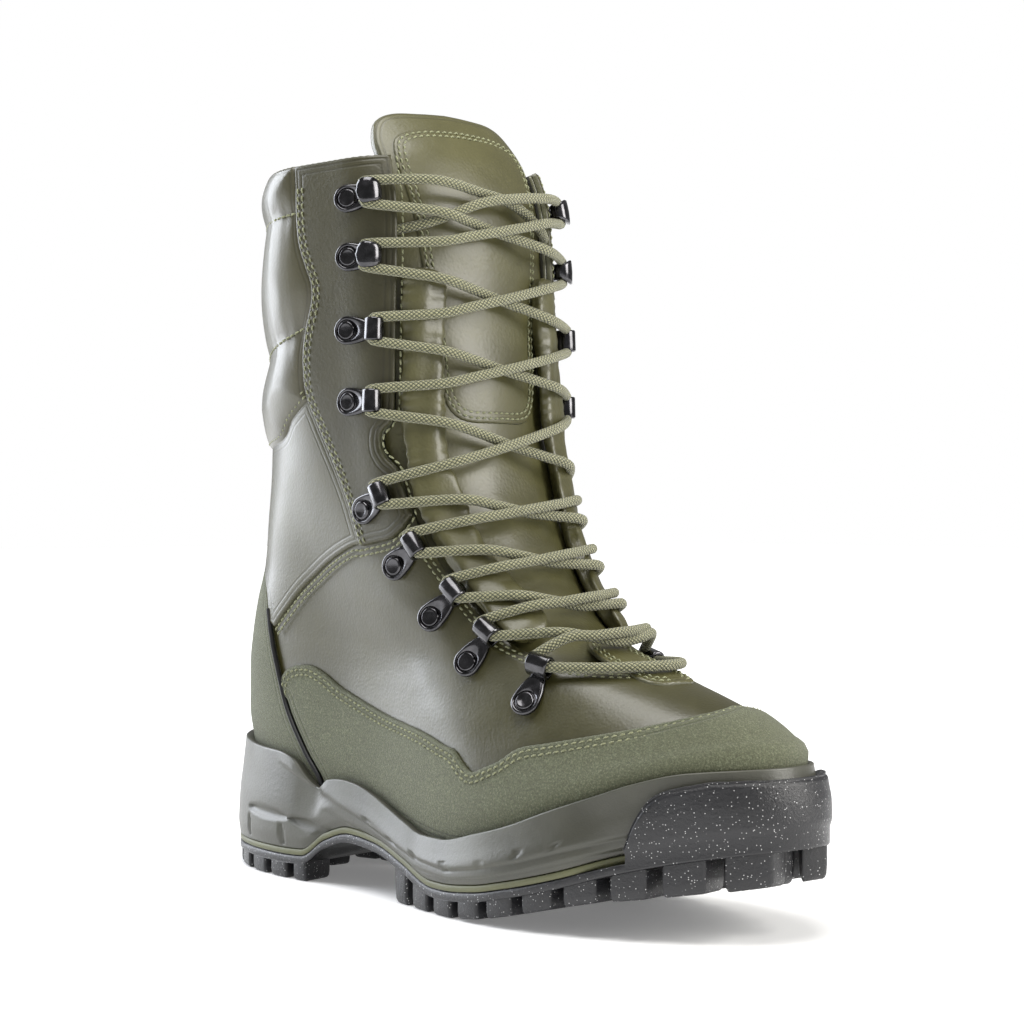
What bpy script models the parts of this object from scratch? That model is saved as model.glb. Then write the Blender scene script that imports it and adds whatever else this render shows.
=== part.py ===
"""Winter tactical boot, right foot.

Lengths are metres measured from the back of the heel, along the boot.
X runs to the toe, Y to the wearer's left (the inner side) and Z up from the floor.
An empty carries every piece and puts the heel's resting spot on the world origin.
"""
import math

import bmesh
import bpy
import numpy as np
from mathutils import Matrix, Vector

# Sizes of the sole
SOLE_LENGTH = 0.308
BALL_WIDTH = 0.1046
HEEL_WIDTH = 0.0726
WAIST_WIDTH = 0.075
TREAD_DEPTH = 0.0065
PLATE_THICKNESS = 0.0033
STRIP_THICKNESS = 0.0025
ARCH_RISE = 0.0125
TOE_SPRING = 0.027
TREAD_TOE_RISE = 0.024
BUMPER_THICKNESS = 0.004
BUMPER_OVERLAP = 0.02
PLATE_TUCK = 0.0008
LUG_SETBACK = 0.0006
LUG_TAPER = 0.6
LUG_BURY = 0.0011
SOLE_SQUARENESS = 1.10
MIDSOLE_HEIGHT = 0.055
LIP_WIDTH = 0.003
HEEL_SPOT = 0.038

# Sizes of the upper
COLLAR_HEIGHT = 0.293
SEAT_HEIGHT = 0.036
BALL_SEAT = 0.024
SHAFT_WIDTH = 0.106
WALL = 0.0024
TONGUE_THICKNESS = 0.0045
TONGUE_COVER = 0.0075
INSOLE_THICKNESS = 0.003
RAND_THICKNESS = 0.0012
COUNTER_THICKNESS = 0.0012
QUARTER_THICKNESS = 0.0012
EYESTAY_THICKNESS = 0.0022
PAD_THICKNESS = 0.0054
GUSSET_WIDTH = 0.0145
GUSSET_HEIGHT = 0.0064

# Sizes of the lacing
EYELET_REACH = 0.0145
EYELET_WIDTH = 0.0062
EYELET_RISE = 0.0078
RIVET_RADIUS = 0.0044
RIVET_HEIGHT = 0.0016
RIVET_TAPER = 0.7
LACE_RADIUS = 0.0020
LACE_END_GAP = 0.0008
LACE_SAG = 0.0034
LACE_OVER = 0.0007
LACE_SEAT = 0.0026
LACE_ABOVE_ROW = 0.0012
LACE_BELOW_ROW = 0.0033
LACE_BAR_DROP = 0.0062

# Clearances
GAP = 0.0003
SEAM_GAP = 0.0003
GUSSET_SEAT = 2 * GAP
MERGE = 0.00002
REACH = 0.2

COLUMNS = 48
SHAFT_RISE = COLLAR_HEIGHT - SEAT_HEIGHT

# One row for each level of the upper. follow: how far the level has left the sole's spring.
# back_z and front_z are shares of the shaft's rise, back_x and front_x of the sole's length.
# heel is a half width as a share of the heel width, waist of the shaft width,
# ball and toe of the ball width.
UPPER_COLUMNS = ("follow", "back_z", "front_z", "back_x", "front_x", "heel", "waist", "ball", "toe")
UPPER_ROWS = (
    (0.00, 0.000, 0.000, 0.036, 0.955, 0.406, 0.297, 0.416, 0.296),
    (0.00, 0.070, 0.058, 0.026, 0.960, 0.427, 0.316, 0.445, 0.326),
    (0.25, 0.117, 0.093, 0.020, 0.943, 0.435, 0.307, 0.430, 0.306),
    (0.50, 0.160, 0.140, 0.022, 0.908, 0.435, 0.297, 0.402, 0.277),
    (0.80, 0.202, 0.179, 0.027, 0.856, 0.442, 0.292, 0.373, 0.258),
    (1.00, 0.249, 0.210, 0.039, 0.789, 0.448, 0.302, 0.354, 0.249),
    (1.00, 0.304, 0.241, 0.058, 0.711, 0.454, 0.325, 0.368, 0.268),
    (1.00, 0.366, 0.288, 0.082, 0.643, 0.453, 0.358, 0.392, 0.296),
    (1.00, 0.436, 0.358, 0.097, 0.584, 0.457, 0.396, 0.411, 0.325),
    (1.00, 0.514, 0.451, 0.110, 0.536, 0.453, 0.425, 0.430, 0.354),
    (1.00, 0.607, 0.568, 0.118, 0.503, 0.450, 0.453, 0.449, 0.368),
    (1.00, 0.708, 0.693, 0.124, 0.490, 0.459, 0.481, 0.468, 0.378),
    (1.00, 0.900, 0.905, 0.124, 0.477, 0.463, 0.500, 0.488, 0.382),
    (1.00, 0.966, 0.984, 0.130, 0.455, 0.449, 0.491, 0.478, 0.373),
    (1.00, 1.062, 1.078, 0.134, 0.396, 0.394, 0.462, 0.449, 0.344),
)
COLLAR_LEVEL = 13
TONGUE_LEVEL = 14
WIDTH_STATIONS = (0.13, 0.39, 0.69, 0.90)
HEEL_ROUNDING = 1.04
TOE_ROUNDING = 1.02

# Curves along the sole. along: share of the sole's length, then a share of the named size.
CENTRE_CURVE = ((0.0, 0.0), (0.13, 0.0), (0.26, -0.017), (0.39, -0.038), (0.52, -0.048), (0.65, -0.031),
                (0.73, -0.014), (0.81, 0.010), (0.89, 0.033), (0.95, 0.048), (1.0, 0.057))
SPRING_CURVE = ((0.0, 0.0), (0.58, 0.0), (0.64, 0.056), (0.70, 0.185), (0.76, 0.352), (0.84, 0.63),
                (0.92, 0.852), (1.0, 1.0))
TREAD_CURVE = ((0.0, 0.0), (0.58, 0.0), (0.64, 0.063), (0.70, 0.208), (0.76, 0.385), (0.81, 0.53),
               (0.86, 0.625), (0.92, 0.75), (0.98, 0.87), (1.0, 1.0))
ARCH_CURVE = ((0.0, 0.0), (0.20, 0.0), (0.25, 0.04), (0.30, 0.68), (0.35, 1.0), (0.41, 0.88),
              (0.48, 0.48), (0.56, 0.0), (1.0, 0.0))
SEAT_CURVE = ((0.0, 1.0), (0.25, 1.0), (0.42, 0.5), (0.60, 0.0), (1.0, 0.0))
MIDSOLE_TOP = ((0.0, 1.0), (0.12, 0.95), (0.19, 0.935), (0.225, 0.89), (0.25, 0.77), (0.276, 0.705),
               (0.30, 0.775), (0.335, 0.79), (0.37, 0.772), (0.41, 0.72), (0.45, 0.65), (0.495, 0.575),
               (0.54, 0.515), (0.585, 0.513), (0.66, 0.593), (0.71, 0.665), (0.78, 0.804), (0.84, 0.92),
               (0.88, 1.00), (0.935, 1.08), (1.0, 1.11))
SOLE_HALF_WIDTHS = (0.5, 0.5, 0.5, 0.353)

# Side of the midsole. up: share of its height, out: bulge as a share of the lip's width.
MIDSOLE_SIDE = ((0.0, 0.0), (0.16, 0.36), (0.42, 0.42), (0.72, 0.20), (1.0, 0.0))

# Outlines seen from the side. x: share of the sole's length, z: share of the collar's height.
PIPING_LINE = ((0.276, 0.08), (0.276, 0.140), (0.243, 0.183), (0.201, 0.243), (0.179, 0.304), (0.170, 0.341))
COUNTER_TOP = ((0.166, 0.375), (0.155, 0.408), (0.125, 0.435), (0.065, 0.447), (-0.1, 0.447))
RAND_TOP = ((0.190, 0.278), (0.211, 0.294), (0.247, 0.299), (0.279, 0.289), (0.321, 0.269), (0.409, 0.244),
            (0.510, 0.228), (0.562, 0.215), (0.584, 0.210), (0.607, 0.193), (0.623, 0.186), (0.643, 0.193),
            (0.666, 0.203), (0.692, 0.220), (0.734, 0.229), (0.812, 0.246), (0.860, 0.259), (0.886, 0.273),
            (0.899, 0.300), (1.1, 0.340))
VAMP_SEAM = ((0.180, 0.350), (0.211, 0.377), (0.250, 0.407), (0.312, 0.440), (0.383, 0.467), (0.401, 0.467))
EYESTAY_BOTTOM = ((0.402, 0.467), (0.458, 0.478), (0.477, 0.492), (0.500, 0.519), (0.65, 0.580))
EYESTAY_BACK = ((0.401, 0.467), (0.373, 0.542), (0.328, 0.633), (0.312, 0.672), (0.311, 0.717), (0.318, 0.756),
                (0.330, 0.793), (0.331, 0.819), (0.321, 0.846), (0.311, 0.881), (0.306, 0.990), (0.306, 1.1))
PAD_BOTTOM = ((0.310, 0.667), (0.273, 0.638), (0.244, 0.612), (0.130, 0.595), (-0.1, 0.590))

# Collar pad. level: level of the upper, swell: share of the pad's thickness.
PAD_ROWS = ((9.2, 0.16), (9.5, 0.52), (10.0, 0.86), (10.4, 0.70), (10.62, 0.20), (10.85, 0.70), (11.3, 1.0),
            (11.75, 0.80), (12.0, 0.26), (12.4, 0.66), (13.0, 0.22))

# Throat seen from the front. half: share of the shaft's width, z: share of the collar's height.
THROAT_EDGE = ((0.0, 0.283), (0.075, 0.284), (0.150, 0.290), (0.220, 0.303), (0.270, 0.318), (0.300, 0.336),
               (0.315, 0.362), (0.337, 0.410), (0.377, 0.478), (0.399, 0.560), (0.392, 0.680), (0.378, 0.820),
               (0.364, 0.960))
THROAT_FOOT = ((0.0, 0.311), (0.100, 0.312), (0.190, 0.3155), (0.245, 0.322), (0.275, 0.331), (0.298, 0.345))
COLLAR_CORNER = ((0.375, 0.975), (0.405, 0.988), (0.455, 0.998), (0.60, 1.02), (0.60, 1.1))
TONGUE_TOP = ((0.325, 0.985), (0.295, 1.030), (0.250, 1.055), (0.180, 1.068))
TONGUE_START = 0.365
THROAT_START = 0.41
TONGUE_FOOT = 0.276
GUSSET_FOOT = 0.350
GUSSET_TOP = 0.835

# One row for each pair of eyelets. z: share of the collar's height.
# setback: how far it stands back from the throat's edge, as a share of its reach.
HOOK_ROWS = (("row1", 0.933, 0.30), ("row2", 0.848, 0.30))
LOOP_ROWS = (("row3", 0.751, 0.34), ("row4", 0.658, 0.34), ("row5", 0.544, 0.42), ("row6", 0.474, 0.14),
             ("row7", 0.410, 0.05), ("row8", 0.359, 0.05), ("row9", 0.320, 0.16))
# Side views of the eyelets. u: share of the reach away from the throat, n: share of the rise.
HOOK_PROFILE = ((0.86, 0.0), (0.86, 0.14), (0.24, 0.14), (0.20, 0.30), (0.22, 0.62), (0.34, 0.80), (0.52, 0.80),
                (0.60, 0.72), (0.68, 0.80), (0.56, 1.0), (0.24, 1.0), (0.04, 0.72), (0.02, 0.20), (0.06, 0.0))
LOOP_PROFILE = ((0.86, 0.0), (0.86, 0.14), (0.44, 0.14), (0.30, 0.72), (0.16, 1.0), (-0.08, 1.0), (-0.20, 0.76),
                (-0.20, 0.34), (-0.06, 0.0))
LOOP_HOLE = ((0.22, 0.22), (0.14, 0.78), (-0.04, 0.78), (-0.08, 0.70), (-0.08, 0.38), (0.02, 0.20))

LACE_LIFT = GUSSET_HEIGHT - WALL + LACE_SEAT + LACE_RADIUS
# Route of a strand. share: how far across it is, sag: share of the lace's sag.
LACE_ROUTE = ((0.10, 0.0), (0.30, 0.35), (0.50, 1.0), (0.70, 0.35), (0.90, 0.0))

# The bumper seen from the side. x: share of the sole's length, z: share of the collar's height.
BUMPER_OUTLINE = ((0.850, 0.0), (0.851, 0.102), (0.870, 0.151), (0.881, 0.171), (0.897, 0.183), (0.942, 0.195),
                  (1.1, 0.2), (1.1, 0.0))

# Lugs. side: -1 outer, 1 inner, 0 centre; start and end: shares of the sole's length;
# width: share of the ball width taken in from the edge; slant: forward lean of the inner end.
LUG_COLUMNS = ("start", "end", "width", "slant")
EDGE_LUGS = (
    (0.020, 0.055, 0.13, 0.020), (0.070, 0.108, 0.17, 0.012), (0.124, 0.162, 0.17, 0.006),
    (0.178, 0.216, 0.17, -0.004), (0.232, 0.258, 0.15, -0.010),
    (0.462, 0.492, 0.15, 0.010), (0.508, 0.545, 0.18, 0.008), (0.560, 0.598, 0.20, 0.006),
    (0.613, 0.651, 0.20, 0.004), (0.667, 0.706, 0.20, 0.000), (0.722, 0.762, 0.20, -0.006),
    (0.778, 0.818, 0.19, -0.012), (0.834, 0.874, 0.18, -0.018), (0.890, 0.932, 0.16, -0.020),
    (0.948, 0.984, 0.10, -0.010),
)
CENTRE_LUGS = ((0.075, 0.175, 0.15), (0.500, 0.570, 0.22), (0.590, 0.660, 0.24), (0.680, 0.745, 0.24),
               (0.765, 0.825, 0.22), (0.845, 0.900, 0.18), (0.918, 0.965, 0.14))

MATERIALS = {
    "leather": ((0.105, 0.110, 0.060, 1.0), 0.42, 0.0),
    "suede": ((0.120, 0.130, 0.090, 1.0), 0.85, 0.0),
    "padding": ((0.100, 0.108, 0.062, 1.0), 0.55, 0.0),
    "midsole": ((0.150, 0.160, 0.120, 1.0), 0.65, 0.0),
    "strip": ((0.130, 0.135, 0.070, 1.0), 0.70, 0.0),
    "rubber": ((0.020, 0.021, 0.022, 1.0), 0.75, 0.0),
    "lining": ((0.060, 0.060, 0.045, 1.0), 0.90, 0.0),
    "gunmetal": ((0.060, 0.062, 0.068, 1.0), 0.25, 1.0),
    "cord": ((0.220, 0.210, 0.120, 1.0), 0.80, 0.0),
}


def monotone(points):
    """A smooth curve through the points that never overshoots them."""
    xs = np.array([p[0] for p in points])
    ys = np.array([p[1] for p in points])
    steps = np.diff(xs)
    slopes = np.diff(ys) / steps
    tangents = np.zeros(len(xs))
    tangents[0] = slopes[0]
    tangents[-1] = slopes[-1]
    for i in range(1, len(xs) - 1):
        if slopes[i - 1] * slopes[i] > 0:
            before = 2 * steps[i] + steps[i - 1]
            after = steps[i] + 2 * steps[i - 1]
            tangents[i] = (before + after) / (before / slopes[i - 1] + after / slopes[i])
    return lambda x: hermite(x, xs, ys, tangents)


def hermite(x, xs, ys, tangents):
    i = int(np.clip(np.searchsorted(xs, x) - 1, 0, len(xs) - 2))
    step = xs[i + 1] - xs[i]
    t = float(np.clip((x - xs[i]) / step, 0.0, 1.0))
    start = (1 + 2 * t) * (1 - t) ** 2 * ys[i] + t * (1 - t) ** 2 * step * tangents[i]
    end = t * t * (3 - 2 * t) * ys[i + 1] + t * t * (t - 1) * step * tangents[i + 1]
    return start + end


centre_share = monotone(CENTRE_CURVE)
spring_share = monotone(SPRING_CURVE)
tread_share = monotone(TREAD_CURVE)
arch_share = monotone(ARCH_CURVE)
seat_share = monotone(SEAT_CURVE)
midsole_share = monotone(MIDSOLE_TOP)


def centre(x):
    return BALL_WIDTH * centre_share(x / SOLE_LENGTH)


def spring(x):
    return TOE_SPRING * spring_share(x / SOLE_LENGTH)


def tread(x):
    return TREAD_TOE_RISE * tread_share(x / SOLE_LENGTH)


def plate_bottom(x):
    return spring(x) + TREAD_DEPTH + ARCH_RISE * arch_share(x / SOLE_LENGTH)


def strip_bottom(x):
    return plate_bottom(x) + PLATE_THICKNESS + GAP


def midsole_bottom(x):
    return strip_bottom(x) + STRIP_THICKNESS + GAP


def midsole_top(x):
    return MIDSOLE_HEIGHT * midsole_share(x / SOLE_LENGTH)


def seat(x):
    return BALL_SEAT + (SEAT_HEIGHT - BALL_SEAT) * seat_share(x / SOLE_LENGTH) + spring(x)


def column_angle(column):
    """Angle around a ring: pi at the toe, 0 at the heel, falling on the outer side."""
    turn = 2.0 * column / COLUMNS
    outer = turn <= 1.0
    share = turn if outer else 2.0 - turn
    return math.pi * (1.0 - share), -1.0 if outer else 1.0


def half_width(angle, widths, heel_rounding, toe_rounding):
    """Half width of a ring at an angle, through four given half widths."""
    angles = [math.acos(1.0 - 2.0 * share) for share in WIDTH_STATIONS]
    swells = [width / math.sin(a) for width, a in zip(widths, angles)]
    knots = np.array([0.0] + angles + [math.pi])
    values = np.array([swells[0] * heel_rounding] + swells + [swells[-1] * toe_rounding])
    return hermite(angle, knots, values, np.gradient(values, knots)) * math.sin(angle)


def upper_ring(row):
    """Points of one level of the upper."""
    size = dict(zip(UPPER_COLUMNS, row))
    back_x = size["back_x"] * SOLE_LENGTH
    front_x = size["front_x"] * SOLE_LENGTH
    widths = (size["heel"] * HEEL_WIDTH, size["waist"] * SHAFT_WIDTH,
              size["ball"] * BALL_WIDTH, size["toe"] * BALL_WIDTH)
    level = UPPER_ROWS.index(row)
    bend = min(max(1.0 - (level - 4) / 6.0, 0.0), 1.0)
    points = []
    for column in range(COLUMNS):
        angle, side = column_angle(column)
        along = (1.0 - math.cos(angle)) / 2.0
        x = back_x + (front_x - back_x) * along
        y = bend * centre(x) + side * half_width(angle, widths, HEEL_ROUNDING, TOE_ROUNDING)
        base = seat(x) * (1.0 - size["follow"]) + SEAT_HEIGHT * size["follow"]
        rise = size["back_z"] + (size["front_z"] - size["back_z"]) * along
        points.append((x, y, base + rise * SHAFT_RISE))
    return points


def upper_grid():
    """Nodes of the upper's outside and the directions out of it."""
    nodes = np.array([upper_ring(row) for row in UPPER_ROWS])
    around = np.roll(nodes, -1, axis=1) - np.roll(nodes, 1, axis=1)
    upward = np.gradient(nodes, axis=0)
    normals = np.cross(around, upward)
    normals /= np.linalg.norm(normals, axis=2, keepdims=True)
    middle = nodes.mean(axis=1, keepdims=True)
    if np.sum(normals * (nodes - middle)) < 0:
        normals = -normals
    return nodes, normals


NODES, NORMALS = upper_grid()


def skin(column, level, lift=0.0):
    """A point over the upper: it lies on the flat facets between the grid's nodes."""
    low_column = int(math.floor(column))
    low_level = min(int(math.floor(level)), len(UPPER_ROWS) - 2)
    across = column - low_column
    up = level - low_level
    point = np.zeros(3)
    for i, share_i in ((low_column % COLUMNS, 1.0 - across), ((low_column + 1) % COLUMNS, across)):
        for k, share_k in ((low_level, 1.0 - up), (low_level + 1, up)):
            point += share_i * share_k * (NODES[k, i] + lift * NORMALS[k, i])
    return point


def level_at(column, height, lift=0.0):
    """The level at which a column of the skin reaches a height."""
    levels = range(len(UPPER_ROWS))
    heights = [skin(column, level, lift)[2] for level in levels]
    return float(np.interp(height, heights, levels))


def front_column(across, height):
    """The column near the front at which the skin is a given way across."""
    low = 0.0
    high = COLUMNS / 4.0
    for _ in range(24):
        middle = (low + high) / 2.0
        column = middle if across < 0.0 else -middle
        if abs(skin(column, level_at(column, height))[1]) < abs(across):
            low = middle
        else:
            high = middle
    middle = (low + high) / 2.0
    return middle if across < 0.0 else -middle


def front_point(across, height, lift):
    column = front_column(across, height)
    return Vector(skin(column, level_at(column, height), lift))


def sole_ring(outset=0.0):
    """The sole's outline, moved out by a given width."""
    widths = [share * size for share, size in
              zip(SOLE_HALF_WIDTHS, (HEEL_WIDTH, WAIST_WIDTH, BALL_WIDTH, BALL_WIDTH))]
    points = []
    for column in range(COLUMNS):
        angle, side = column_angle(column)
        x = SOLE_LENGTH * (1.0 - math.cos(angle)) / 2.0
        points.append((x, centre(x) + side * half_width(angle, widths, SOLE_SQUARENESS, 1.0)))
    ring = np.array(points)
    tangent = np.roll(ring, -1, axis=0) - np.roll(ring, 1, axis=0)
    normal = np.stack([-tangent[:, 1], tangent[:, 0]], axis=1)
    normal /= np.linalg.norm(normal, axis=1, keepdims=True)
    if np.sum(normal * (ring - ring.mean(axis=0))) < 0:
        normal = -normal
    return ring + normal * np.broadcast_to(np.asarray(outset, dtype=float), len(ring))[:, None]


def toe_inset(x):
    """How far the midsole steps in behind the toe bumper."""
    share = min(max((x / SOLE_LENGTH - 0.78) / 0.07, 0.0), 1.0)
    return (BUMPER_THICKNESS + GAP) * share * share * (3.0 - 2.0 * share)


def midsole_rings(outset):
    """Rings up the midsole's side, from the strip to the lip."""
    plain = sole_ring()
    foot = sole_ring([outset - toe_inset(x) for x, _ in plain])
    rings = []
    lips = []
    for column in range(COLUMNS):
        height = midsole_top(plain[column][0])
        lift = 2 * GAP + RAND_THICKNESS + LIP_WIDTH + outset
        lips.append(skin(column, level_at(column, height, lift), lift))
    for up, bulge in MIDSOLE_SIDE:
        ring = []
        for column in range(COLUMNS):
            x, y = foot[column]
            start = np.array((x, y, midsole_bottom(plain[column][0])))
            point = start + (lips[column] - start) * up
            outward = NORMALS[1, column].copy()
            outward[2] = 0.0
            ring.append(point + outward * bulge * LIP_WIDTH)
        rings.append(ring)
    return rings


def flat_ring(ring, height):
    """A plan outline with a height worked out for each point."""
    plain = sole_ring()
    return [(point[0], point[1], height(plain[i][0])) for i, point in enumerate(ring)]


def new_object(name, mesh, material, cutter=False):
    piece = bpy.data.objects.new(name, mesh)
    if cutter:
        CUTTERS.objects.link(piece)
        piece.hide_render = True
        piece.display_type = "WIRE"
    else:
        PARTS.objects.link(piece)
        mesh.materials.append(material_for(material))
    piece.parent = CARRIER
    return piece


def material_for(name):
    if name in bpy.data.materials:
        return bpy.data.materials[name]
    colour, roughness, metallic = MATERIALS[name]
    material = bpy.data.materials.new(name)
    material.use_nodes = True
    shader = material.node_tree.nodes["Principled BSDF"]
    shader.inputs["Base Color"].default_value = colour
    shader.inputs["Roughness"].default_value = roughness
    shader.inputs["Metallic"].default_value = metallic
    material.diffuse_color = colour
    return material


def mesh_from(name, form):
    bmesh.ops.remove_doubles(form, verts=form.verts, dist=MERGE)
    bmesh.ops.recalc_face_normals(form, faces=form.faces)
    mesh = bpy.data.meshes.new(name)
    form.to_mesh(mesh)
    form.free()
    return mesh


def add_rings(form, rings):
    return [[form.verts.new(point) for point in ring] for ring in rings]


def bridge(form, lower, upper):
    count = len(lower)
    for i in range(count):
        j = (i + 1) % count
        corners = [lower[i], lower[j], upper[j], upper[i]]
        if i >= count // 2:
            corners = corners[1:] + corners[:1]
        form.faces.new(corners[:3])
        form.faces.new((corners[0], corners[2], corners[3]))


def cap(form, ring):
    """Close a ring with rungs from its outer to its inner side."""
    count = len(ring)
    for i in range(count // 2):
        j = i + 1
        corners = []
        for vertex in (ring[i], ring[j], ring[(count - j) % count], ring[(count - i) % count]):
            if vertex not in corners:
                corners.append(vertex)
        form.faces.new(corners)


def block(name, rings, material=None, cutter=False):
    """A solid through rings, capped below and above."""
    form = bmesh.new()
    loops = add_rings(form, rings)
    for lower, upper in zip(loops, loops[1:]):
        bridge(form, lower, upper)
    cap(form, loops[0])
    cap(form, loops[-1])
    return new_object(name, mesh_from(name, form), material, cutter)


def shell(name, levels, inner_lifts, outer_lifts, material=None, cutter=False):
    """A tube over the upper between two lifts, open above and below."""
    form = bmesh.new()
    inner = add_rings(form, [[skin(c, v, lift) for c in range(COLUMNS)] for v, lift in zip(levels, inner_lifts)])
    outer = add_rings(form, [[skin(c, v, lift) for c in range(COLUMNS)] for v, lift in zip(levels, outer_lifts)])
    for loops in (inner, outer):
        for lower, upper in zip(loops, loops[1:]):
            bridge(form, lower, upper)
    bridge(form, inner[0], outer[0])
    bridge(form, inner[-1], outer[-1])
    return new_object(name, mesh_from(name, form), material, cutter)


def prism(name, corners, direction, material=None, cutter=True):
    """A flat outline pushed along a direction."""
    form = bmesh.new()
    face = form.faces.new([form.verts.new(corner) for corner in corners])
    pushed = bmesh.ops.extrude_face_region(form, geom=[face])
    moved = [item for item in pushed["geom"] if isinstance(item, bmesh.types.BMVert)]
    bmesh.ops.translate(form, verts=moved, vec=direction)
    return new_object(name, mesh_from(name, form), material, cutter)


def side_cutter(name, outline, start=-REACH, end=REACH):
    """A cutter with an outline seen from the side, from one y to another."""
    corners = [(x * SOLE_LENGTH, start, z * COLLAR_HEIGHT) for x, z in outline]
    return prism(name, corners, (0.0, end - start, 0.0))


def front_cutter(name, outline, start, end):
    """A cutter with an outline seen from the front, from one x to another."""
    corners = [(start, y, z) for y, z in outline]
    return prism(name, corners, (end - start, 0.0, 0.0))


def combine(piece, other, operation):
    """Add an exact boolean to a piece."""
    change = piece.modifiers.new(other.name, "BOOLEAN")
    change.object = other
    change.operation = operation
    change.solver = "EXACT"
    return piece


def throat_side(margin, low_rows, top_rows):
    """One side of the throat seen from the front, wider by a margin, between its low and its top rows."""
    low = low_rows[-1][1]
    top = top_rows[0][1]
    rows = list(low_rows[1:]) + [row for row in THROAT_EDGE if low < row[1] < top] + list(top_rows)
    return [(share * SHAFT_WIDTH + margin, z * COLLAR_HEIGHT) for share, z in rows]


def mirrored(half, low):
    """A closed outline from its one half and the height of its lowest point."""
    return [(0.0, low)] + half + [(-y, z) for y, z in reversed(half)]


def throat_cutter():
    half = throat_side(0.0, THROAT_FOOT, COLLAR_CORNER)
    low = THROAT_FOOT[0][1] * COLLAR_HEIGHT
    return front_cutter("cut_throat", mirrored(half, low), THROAT_START * SOLE_LENGTH, SOLE_LENGTH)


def build_upper():
    levels = list(range(COLLAR_LEVEL + 1))
    upper = shell("upper", levels, [-WALL] * len(levels), [0.0] * len(levels), "leather")
    return combine(upper, bpy.data.objects["cut_throat"], "DIFFERENCE")


def shifted(outline, along=0.0, up=0.0):
    return [(x + along / SOLE_LENGTH, z + up / COLLAR_HEIGHT) for x, z in outline]


def overlay(name, levels, thickness, outline, side, material, open_throat=False):
    """A panel over the upper: a shell cut by its outline seen from the side."""
    count = len(levels)
    panel = shell(name, levels, [GAP] * count, [GAP + thickness] * count, material)
    start, end = {-1: (-REACH, -SEAM_GAP / 2), 1: (SEAM_GAP / 2, REACH), 0: (-REACH, REACH)}[side]
    combine(panel, side_cutter("cut_" + name, outline, start, end), "INTERSECT")
    if open_throat:
        combine(panel, bpy.data.objects["cut_throat"], "DIFFERENCE")
    return panel


def build_rand():
    outline = shifted(PIPING_LINE[:-2], SEAM_GAP) + list(RAND_TOP) + [(1.1, 0.0), (0.277, 0.0)]
    overlay("toe_rand", range(0, 7), RAND_THICKNESS, outline, 0, "suede")


def build_counter():
    outline = list(PIPING_LINE) + list(COUNTER_TOP) + [(-0.1, 0.0), (0.276, 0.0)]
    overlay("heel_counter", range(0, 10), COUNTER_THICKNESS, outline, 0, "suede")


def build_quarters():
    lower = shifted(VAMP_SEAM, SEAM_GAP)
    front = shifted(EYESTAY_BACK[:4], -SEAM_GAP)
    top = shifted(PAD_BOTTOM, 0.0, -SEAM_GAP)
    back = shifted(reversed(COUNTER_TOP), SEAM_GAP, SEAM_GAP)
    outline = lower + front[1:] + top + back + shifted([PIPING_LINE[-1]], SEAM_GAP)
    for side, hand in ((-1, "right"), (1, "left")):
        overlay("quarter_" + hand, range(4, 12), QUARTER_THICKNESS, outline, side, "leather")


def build_eyestays():
    outline = list(EYESTAY_BOTTOM) + [(0.65, 1.1)] + list(reversed(EYESTAY_BACK))[:-1]
    for side, hand in ((-1, "right"), (1, "left")):
        overlay("eyestay_" + hand, range(7, COLLAR_LEVEL + 1), EYESTAY_THICKNESS, outline, side, "leather", True)


def build_pad():
    levels = [level for level, _ in PAD_ROWS]
    lifts = [GAP + swell * PAD_THICKNESS for _, swell in PAD_ROWS]
    pad = shell("collar_pad", levels, [GAP] * len(levels), lifts, "padding")
    outline = list(PAD_BOTTOM) + [(-0.1, 1.1)] + shifted(reversed(EYESTAY_BACK[4:]), -SEAM_GAP)
    combine(pad, side_cutter("cut_pad", outline), "INTERSECT")


def build_tongue():
    lift = -WALL - GAP
    levels = list(range(4, TONGUE_LEVEL + 1))
    tongue = shell("tongue", levels, [lift - TONGUE_THICKNESS] * len(levels), [lift] * len(levels), "leather")
    half = throat_side(TONGUE_COVER, THROAT_EDGE[:2], TONGUE_TOP)
    low = TONGUE_FOOT * COLLAR_HEIGHT
    half = [(TONGUE_COVER, low)] + half
    outline = half + [(-y, z) for y, z in reversed(half)]
    cutter = front_cutter("cut_tongue", outline, TONGUE_START * SOLE_LENGTH, SOLE_LENGTH)
    combine(tongue, cutter, "INTERSECT")


def throat_half(height):
    """Half width of the throat at a height."""
    edge = [(z * COLLAR_HEIGHT, share * SHAFT_WIDTH) for share, z in THROAT_EDGE]
    return float(np.interp(height, [z for z, _ in edge], [y for _, y in edge]))


def ellipse_loft(name, path, width, height, material):
    """A soft roll along a path over the skin. Each path row is (across, height, lift)."""
    corners = 8
    form = bmesh.new()
    centres = [front_point(*row) for row in path]
    loops = []
    for i, middle in enumerate(centres):
        across, level, lift = path[i]
        outward = (front_point(across, level, lift + WALL) - middle).normalized()
        ahead = centres[min(i + 1, len(centres) - 1)] - centres[max(i - 1, 0)]
        sideways = ahead.cross(outward).normalized()
        loop = []
        for k in range(corners):
            turn = 2.0 * math.pi * (k + 0.5) / corners
            offset = sideways * math.cos(turn) * width / 2.0 + outward * math.sin(turn) * height / 2.0
            loop.append(form.verts.new(middle + offset))
        loops.append(loop)
    for lower, upper in zip(loops, loops[1:]):
        bridge(form, lower, upper)
    form.faces.new(loops[0])
    form.faces.new(loops[-1])
    piece = new_object(name, mesh_from(name, form), material)
    smooth(piece)
    return piece


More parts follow.
